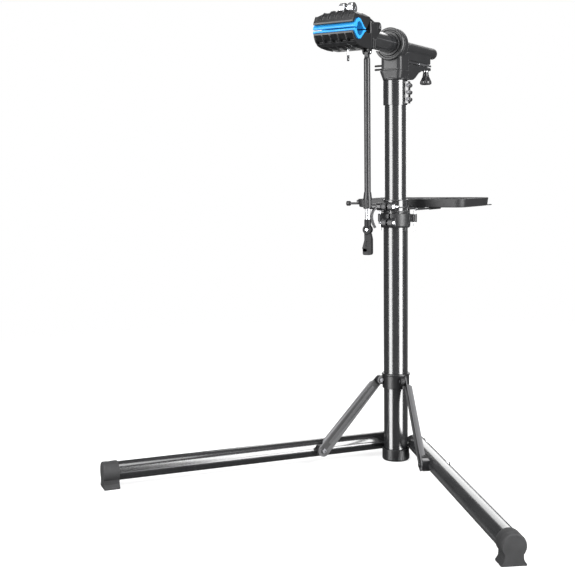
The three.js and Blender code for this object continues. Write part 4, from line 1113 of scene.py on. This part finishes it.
def build_lock_knob():
    """Bell-shaped knob with eight finger flutes, on its threaded stud."""
    low, high = node_box("lock_knob")
    centre = middle("lock_knob")
    profile = [(0, low.z + 5), (9, low.z + 3.6), (12.6, low.z), (15.5, low.z + 3.4), (15.1, low.z + 9),
               (12.2, low.z + 15), (9.0, low.z + 22), (7.2, low.z + 31), (7.2, AXIS_Z - 48.5),
               (0, AXIS_Z - 48.5)]
    knob = lathe(profile, FINE, "z", (0, centre.y, 0), 2.6, 5)
    for k in range(8):
        turn = 2 * math.pi * (k + 0.5) / 8
        flute = sweep([(17.2 * math.cos(turn), centre.y + 17.2 * math.sin(turn), low.z - 4),
                       (16.6 * math.cos(turn), centre.y + 16.6 * math.sin(turn), low.z + 8),
                       (12.8 * math.cos(turn), centre.y + 12.8 * math.sin(turn), low.z + 20)], 2.6, 16, 6)
        cut(knob, flute)
    stand_in(knob, "lock_knob", GLOSS, "lock_knob", 50)
    stud = place(threaded(3.9, AXIS_Z - 49, high.z, 1.4), Matrix.Translation((0, centre.y, 0)))
    collar = rod(7.6, AXIS_Z - 50.5, AXIS_Z - 48.3, MEDIUM, "z", (0, centre.y, 0), 0.5)
    deliver(joined("stud", stud, collar), "lock_stud_look", CHROME, "lock_knob")


# ---------------------------------------------------------------- arm and clamp


def cross_rod(radius, x_low, x_high, forward, height, rounding=0.4, segments=MEDIUM):
    """Round bar along X at a distance forward of the post and a height above the arm's axis."""
    return rod(radius, x_low, x_high, segments, "x", (0, -forward, AXIS_Z + height), rounding)


def build_arm():
    low, high = node_box("arm_dial")
    front = low.y
    face = -28
    dial = lathe([(0, face), (38.2, face), (39.5, face - 2), (39.5, face - 7), (37.6, face - 9.6),
                  (33.6, face - 9.6), (32.4, face - 6.5), (29.4, face - 6.5), (28.2, face - 12.6),
                  (22.8, face - 12.6), (22.8, face - 9), (0, face - 9)], FINE, "y", ARM_AXIS, 0.7)
    inner = rod(20.2, front, face - 8, FINE, "y", ARM_AXIS, 1.0)
    shaft = rod(10.7, face - 1, high.y, MEDIUM, "y", ARM_AXIS, 1.0)
    marks = []
    for k in range(24):
        turn = 2 * math.pi * k / 24
        at = (35.6 * math.cos(turn), 0, AXIS_Z + 35.6 * math.sin(turn))
        marks.append(rod(0.7, face - 10.4, face - 9.2, 12, "y", at, 0))
    dial = cut(union(dial, inner, shaft), joined("marks", *marks))
    stand_in(dial, "arm_dial", CASTING_DARK, "arm", 40)
    low, high = node_box("arm_tube")
    stand_in(tube(ARM_RADIUS, ARM_RADIUS - 2, low.y, high.y, FINE, "y", ARM_AXIS, 0.6), "arm_tube",
             COAT_ARM, "arm")


def ribbed_block():
    """Upright part of the clamp body, with three upright ribs and the grooves between them on each side."""
    right = [(45.5, -209), (49.6, -211)]
    for forward in (214.5, 222.5, 230.5):
        right += [(50.2 + 0.2 * math.cos(a), -forward + 2.0 * math.sin(a)) for a in (1.4, 0.7, -0.7, -1.4)]
        right += [(46.6, -forward - 2.6), (46.6, -forward - 5.2)]
    right = right[:-2] + [(49.4, -235), (47.5, -236.5)]
    outline = right + [(-x, y) for x, y in reversed(right)]
    return prism(outline, AXIS_Z - 33.5, AXIS_Z + 27, 1.2)


def jaw_ribs(outline, positions, thickness=2.6):
    """Thin upright webs on the outside of a jaw."""
    return [arm_slab(outline, x - thickness / 2, x + thickness / 2, 0.5) for x in positions]


def pin_bores(radius, inner, outer):
    """Bores for the two jaw pins, between two distances from the middle."""
    return [cross_rod(radius, *span(side, inner, outer), *JAW_PIVOT, 0) for side in (1, -1)]


def clamp_shape(lug_x, lug_y, lug_z):
    """Socket ring, ribbed block, lower jaw, two ears for the jaw pins and a lug for the wheel holder."""
    ring = lathe([(0, -210), (26.5, -210), (26.5, -190), (25.2, -187), (0, -187)], FINE, "y", ARM_AXIS, 0.8)
    wedge = arm_slab([(230, -1), (262, -1), (270.5, -3.3), (281, -11.3), (291, -19.3), (302, -21.3),
                      (312.6, -15.6), (318.5, -8.6), (322.5, -3.2), (325.0, -4.6), (324.0, -8.8),
                      (321.4, -9.8), (312, -18.4), (302, -24.2), (290, -24.6), (276, -28.6), (262, -33.5),
                      (230, -33.5)], -49.5, 49.5, 0.6)
    ribs = jaw_ribs([(300, -22), (313, -16), (321, -8), (324.4, -9.6), (317.2, -21.6), (306, -29.6),
                     (290, -33), (262, -35), (236, -35), (236, -30), (262, -30)],
                    (-48.4, -29, -9.7, 9.7, 29, 48.4), 2.8)
    band = arm_slab([(300, -24), (308, -23.6), (311.4, -25.8), (305, -30), (296, -31.8)], -49.2, 49.2, 0.8)
    shapes = [ring, ribbed_block(), wedge, band, *ribs]
    for side in (1, -1):
        x_low, x_high = span(side, 42.2, 50)
        ear = arm_slab([(212, -14), (228, -10), (228, 22), (212, 27), (196, 28.6), (184, 22), (182.4, 14),
                        (190, 5)], x_low, x_high, 1.2, [0, 0, 5, 8, 6, 6, 6, 6])
        boss = cross_rod(11.6, *span(side, 42.2, 50.8), *JAW_PIVOT, 1.2)
        shapes += [ear, boss]
    lug = block((lug_x - 9, lug_y - 9, lug_z + 2), (lug_x + 9, lug_y + 9, AXIS_Z - 32), 1.5)
    eye = rod(7.5, lug_x - 9, lug_x + 9, MEDIUM, "x", (0, lug_y, lug_z + 2.5), 1.2)
    return cast(0.85, 2, *shapes, lug, eye)


def build_clamp_body():
    lug_x, lug_y, lug_z = middle("holder_pin")
    body = clamp_shape(lug_x, lug_y, lug_z)
    fork = block((lug_x - 5.3, lug_y - 20, AXIS_Z - 90), (lug_x + 5.3, lug_y + 20, AXIS_Z - 32))
    slot = block((-4, -258.5, AXIS_Z - 60), (4, -243.5, AXIS_Z + 12))
    body = cut(body, fork, slot, rod(ARM_RADIUS + CLEARANCE, -211.3, -100, FINE, "y", ARM_AXIS, 0),
               cross_rod(6.8, -12, 12, ROD_FORWARD, -20, 0),
               rod(8.6, -10, 10, MEDIUM, "z", (0, -ROD_FORWARD, AXIS_Z), 0),
               rod(2.8, lug_x - 20, lug_x + 20, SMALL, "x", (0, lug_y, lug_z), 0), *pin_bores(4.3, 26, 70),
               *pin_bores(7.4, 50.0, 60))
    stand_in(body, "clamp_body", CASTING_DARK, "arm", 40)

    pin = rod(2.5, lug_x - 10.5, lug_x + 10.5, SMALL, "x", (0, lug_y, lug_z), 0.8)
    stand_in(pin, "holder_pin", CHROME, "arm")
    build_jaw_pins()


def build_jaw_pins():
    for side, name in SIDES:
        shank = cross_rod(4, *span(side, 27.8, 51), *JAW_PIVOT, 0.8)
        head = screw_head(6.4, 2.6, socket=side > 0)
        facing = Matrix.Rotation(side * math.pi / 2, 4, "Y")
        place(head, Matrix.Translation((side * 50.4, -JAW_PIVOT[0], AXIS_Z + JAW_PIVOT[1])) @ facing)
        stand_in(joined("pin", shank, head), f"{name}_jaw_pin", STEEL, "arm")


def liner_outline(up):
    """Folded liner strip: flat heel, V notch and front lip. Up is 1 for the lower jaw, -1 for the upper."""
    seat = 3 - 1.5 * up
    points = [(263, 0), (277, 0), (288, 11), (297, 14.5), (306, 10.5), (310, 0), (321, 0), (322.5, 3),
              (318.4, 8), (311.6, 15.8), (302, 21.4), (291, 19.6), (281, 11.6), (271, 3.6)]
    radii = [0.6, 3, 2, 4, 2, 3, 1.2, 1.2, 2, 4, 5, 5, 3, 0.6]
    return fillet([(forward, seat - up * depth) for forward, depth in points], radii)


def build_liners():
    for node, up, body in (("lower_liner", 1, "arm"), ("upper_liner", -1, "upper_jaw")):
        liner = arm_slab(liner_outline(up), -52, 52, 0.9)
        ridge = [(264, 3 - 1.5 * up), (276, 3 - 1.5 * up), (276, 3 - 2.6 * up), (264, 3 - 2.6 * up)]
        ridges = [arm_slab(ridge, x - 0.8, x + 0.8) for x in range(-48, 49, 6)]
        grooves = joined("grooves", *ridges)
        liner = cut(liner, grooves)
        deliver(liner, f"{node}_look", BLUE, body, [node], 40)


def build_upper_jaw():
    """Bowed jaw over the liner: domed ridge across the front, arm down to two knuckles round the pins."""
    seat = [(244, 21), (256, 8), (262, 5.3), (271, 9.3), (281, 17.3), (291, 25.3), (302, 27.3),
            (312.6, 21.6), (318.5, 14.6)]
    ridge = [(324.4, 14.4), (325.2, 18.4), (321.6, 24.4), (316, 33.4), (300, 45), (283, 49), (262, 42.6),
             (242, 39.8)]
    forward, height = JAW_PIVOT
    arms = [arm_slab([(forward - 4, height + 10), (forward, height), (forward + 11.5, height + 2),
                      (207.5, 28.5), (225, 28.5), (225, 36), (215, 33.8), (forward + 2, height + 12)],
                     *span(side, 27.7, 41.6), 1.4, [6, 0, 0, 2, 0, 0, 14, 6]) for side in (1, -1)]
    bridge = arm_slab([(212.4, 28.5), (252, 28.5), (262, 41), (242, 39.8), (215, 33.8), (212.4, 33)],
                      -41.6, 41.6, 1.4, [2, 0, 0, 0, 4, 1])
    front = arm_slab([(238, 28.5), *seat, *ridge, (238, 39)], -49.6, 49.6, 1.0)
    scoop = [(280, 60), (268, 45.2), (286, 44.6), (299, 41.4), (311, 32.5), (317.6, 24), (330, 24),
             (330, 60)]
    scoops = [arm_slab(scoop, x - 6.9, x + 6.9, 1.0) for x in (-41, -25, -8.5, 8.5, 25, 41)]
    front = cut(front, *scoops)
    dome = rod(86, -330, -230, 192, "y", (0, 0, AXIS_Z + 49.6 - 86), 0)
    front = combine(front, [dome], "INTERSECT")
    knuckles = [cross_rod(11.8, *span(side, 27.7, 41.5), forward, height, 1.2) for side in (1, -1)]
    body = cast(0.85, 2, *arms, bridge, front, *knuckles)
    saddle = cross_rod(14.2, -17.6, 17.6, ROD_FORWARD, CAM_HEIGHT, 0)
    body = cut(body, *pin_bores(4.3, 20, 70), block((-4, -256.5, AXIS_Z), (4, -237.5, AXIS_Z + 60)),
               rod(8.6, AXIS_Z, AXIS_Z + 22, MEDIUM, "z", (0, -ROD_FORWARD, 0), 0), saddle)
    stand_in(body, "upper_jaw", CASTING_DARK, "upper_jaw", 40)


def build_clamp_rod(forward, height):
    """Tie rod through both jaws, with a pin across its top and a barrel nut at its foot."""
    low, high = node_box("clamp_rod")
    shank = rod(2.9, low.z + 14, AXIS_Z + height, SMALL, "z", (0, -forward, 0))
    ends = [place(threaded(2.95, start, end, 1.0), Matrix.Translation((0, -forward, 0)))
            for start, end in ((low.z, low.z + 14.5), (AXIS_Z + height, high.z))]
    cross_pin = cross_rod(4.5, -16, 16, forward, height, 0.8)
    stand_in(joined("rod", shank, cross_pin, *ends), "clamp_rod", CHROME, "clamp_rod")
    nut = cut(cross_rod(6.5, -11.6, 11.6, forward, -20, 0.8),
              rod(3.8, -40, 0, SMALL, "z", (0, -forward, AXIS_Z), 0))
    stand_in(nut, "rod_nut", CHROME, "rod_nut")


def build_cam_lever(forward, height):
    cheeks = [cross_rod(13.5, *span(side, 4.3, 17), forward, height, 1.4, FINE) for side in (1, -1)]
    handle = arm_slab([(forward + 4, height + 12.4), (forward - 8, height + 7), (forward - 30, height + 1),
                       (forward - 60, height - 9.5), (forward - 82, height - 14.2),
                       (forward - 82, height - 9.8), (forward - 62, height - 4.4),
                       (forward - 36, height + 7), (forward - 10, height + 13.4)],
                      -11.5, 11.5, 1.5, [0, 6, 20, 20, 2.0, 2.0, 20, 20, 6])
    taper = [cut_wedge(side, forward, height) for side in (1, -1)]
    handle = cut(handle, *taper)
    lever = cast(0.6, 3, *cheeks, handle)
    lever = cut(lever, cross_rod(4.8, -30, 30, forward, height, 0),
                block((-4.3, -forward - 30, AXIS_Z + height - 30),
                      (4.3, -forward + 9, AXIS_Z + height + 30)))
    stand_in(lever, "cam_lever", CHROME, "cam_lever", 40)


def build_clamp_spring(forward):
    """Coil round the rod between the jaws."""
    steps = 72
    turns = 3
    low_end = AXIS_Z - 9
    points = []
    for k in range(steps + 1):
        turn = 2 * math.pi * turns * k / steps
        points.append((6.8 * math.cos(turn), -forward + 6.8 * math.sin(turn), low_end + 30 * k / steps))
    stand_in(sweep(points, 0.8, 12, 3), "clamp_spring", CHROME, "arm")


def build_cam():
    build_clamp_rod(ROD_FORWARD, CAM_HEIGHT)
    build_cam_lever(ROD_FORWARD, CAM_HEIGHT)
    build_clamp_spring(ROD_FORWARD)


def cut_wedge(side, forward, height):
    """Wedge that narrows the cam handle from its hub to its waist."""
    outline = [(side * 13, -forward + 10), (side * 13, -forward + 90), (side * 8.6, -forward + 62),
               (side * 7.4, -forward + 34)]
    return prism(outline, AXIS_Z + height - 30, AXIS_Z + height + 40)


# ---------------------------------------------------------------- wheel holder


def build_holder_outer(x, y, pin_z):
    """Outer tube, drawn in at its top to a tongue with an eye for the pin."""
    low, high = node_box("holder_outer_tube")
    outer = lathe([(0, low.z), (7.1, low.z), (7.4, low.z + 3), (7.4, high.z - 21), (7.0, high.z - 19),
                   (4.7, high.z - 13), (0, high.z - 13)], MEDIUM, "z", (x, y, 0), 0.5)
    tongue = block((x - 4.7, y - 4.8, high.z - 24), (x + 4.7, y + 4.8, pin_z), 0.8)
    eye = rod(4.9, x - 4.8, x + 4.8, MEDIUM, "x", (0, y, pin_z), 0.8)
    outer = cut(union(outer, tongue, eye), rod(6.3, low.z - 9, HOLDER_BORE_TOP, MEDIUM, "z", (x, y, 0), 0),
                rod(2.8, x - 20, x + 20, SMALL, "x", (0, y, pin_z), 0))
    stand_in(outer, "holder_outer_tube", BLACK, "holder")


def build_twist_lock(x, y):
    """Fluted sleeve that grips the inner tube."""
    low, high = node_box("holder_twist_lock")
    profile = [(6.3, low.z), (8.6, low.z), (10.2, low.z + 2.4), (10.2, high.z - 16), (8.6, high.z - 3),
               (7.9, high.z), (7.7, high.z), (7.7, high.z - 6.3), (6.3, high.z - 6.3)]
    sleeve = lathe(profile, FINE, "z", (x, y, 0), 0.5)
    for k in range(16):
        turn = 2 * math.pi * k / 16
        groove = rod(0.9, low.z + 4, high.z - 18, 12, "z",
                     (x + 10.5 * math.cos(turn), y + 10.5 * math.sin(turn), 0), 0.5)
        cut(sleeve, groove)
    stand_in(sleeve, "holder_twist_lock", BLACK, "twist_lock", 40)


def build_holder_end(x, y, pivot):
    """Round fork at the foot of the inner tube, and the pin that the hook turns on."""
    head = rod(11, y - 6, y + 6, FINE, "y", (x, 0, pivot), 1.2)
    socket = lathe([(0, pivot + 2), (8, pivot + 2), (8, pivot + 21.4), (7.2, pivot + 24), (0, pivot + 24)],
                   MEDIUM, "z", (x, y, 0), 0.7)
    end = cast(0.5, 3, head, socket)
    end = cut(end, rod(6.3, pivot + 11, pivot + 40, MEDIUM, "z", (x, y, 0), 0),
              block((x - 20, y - 2.8, pivot - 20), (x + 20, y + 2.8, pivot + 10.5)),
              rod(2.3, y - 20, y + 20, SMALL, "y", (x, 0, pivot), 0))
    stand_in(end, "holder_end", MATT, "holder_inner")
    head = screw_head(3.6, 1.4)
    place(head, Matrix.Translation((x, y - 5.9, pivot)) @ Matrix.Rotation(math.pi / 2, 4, "X"))
    shank = rod(2, y - 6, y + 7, SMALL, "y", (x, 0, pivot))
    stand_in(joined("pin", head, shank), "hook_pin", CHROME, "holder_inner")


def build_hook(x, y, pivot):
    """Snap clip for the wheel: flat clip with a rounded mouth open to one side and a lead-in nose."""
    bottom = node_box("holder_hook")[0].z
    outline = [(x - 7, pivot - 6), (x - 6.5, pivot - 24), (x - 12, bottom + 17), (x - 12, bottom + 14.4),
               (x - 2, bottom + 14.4), (x + 0.6, bottom + 11.4), (x - 2, bottom + 8.4),
               (x - 11, bottom + 8.4), (x - 11, bottom), (x + 11, bottom), (x + 11, pivot - 22),
               (x + 8, pivot - 8)]
    radii = [3, 8, 2, 1, 2.4, 2.4, 2.4, 1, 5, 6, 12, 3]
    blade = front_slab(fillet(outline, radii), y - 5.8, y + 5.8, 1.4)
    clear = [rod(11.6, y - 9, y - 2.5, MEDIUM, "y", (x, 0, pivot), 0),
             rod(11.6, y + 2.5, y + 9, MEDIUM, "y", (x, 0, pivot), 0)]
    eye = rod(9.4, y - 2.5, y + 2.5, FINE, "y", (x, 0, pivot), 0.6)
    hook = union(cut(blade, *clear), eye)
    panel = front_slab(fillet([(x - 2.5, bottom + 20), (x + 7, bottom + 20), (x + 7, pivot - 26),
                               (x - 1.5, pivot - 26)], 2), y - 10, y - 4.8)
    hook = cut(hook, panel, rod(2.3, y - 20, y + 20, SMALL, "y", (x, 0, pivot), 0))
    stand_in(hook, "holder_hook", MATT, "hook", 40)


def build_holder():
    pin = middle("holder_pin")
    pivot = middle("hook_pin").z
    build_holder_outer(pin.x, pin.y, pin.z)
    build_twist_lock(pin.x, pin.y)
    low, high = node_box("holder_inner_tube")
    inner = rod(6, low.z, high.z, MEDIUM, "z", (pin.x, pin.y, 0))
    stand_in(inner, "holder_inner_tube", SATIN, "holder_inner")
    build_holder_end(pin.x, pin.y, pivot)
    build_hook(pin.x, pin.y, pivot)


# ---------------------------------------------------------------- assembly

build_post()
build_slider()
for leg_side, leg_name in SIDES:
    build_leg(leg_side, leg_name)
build_height_collar()
build_tray_collar()
build_tray()
build_tray_supports()
build_mast()
build_head()
build_lock_knob()
build_arm()
build_clamp_body()
build_liners()
build_upper_jaw()
build_cam()
build_holder()
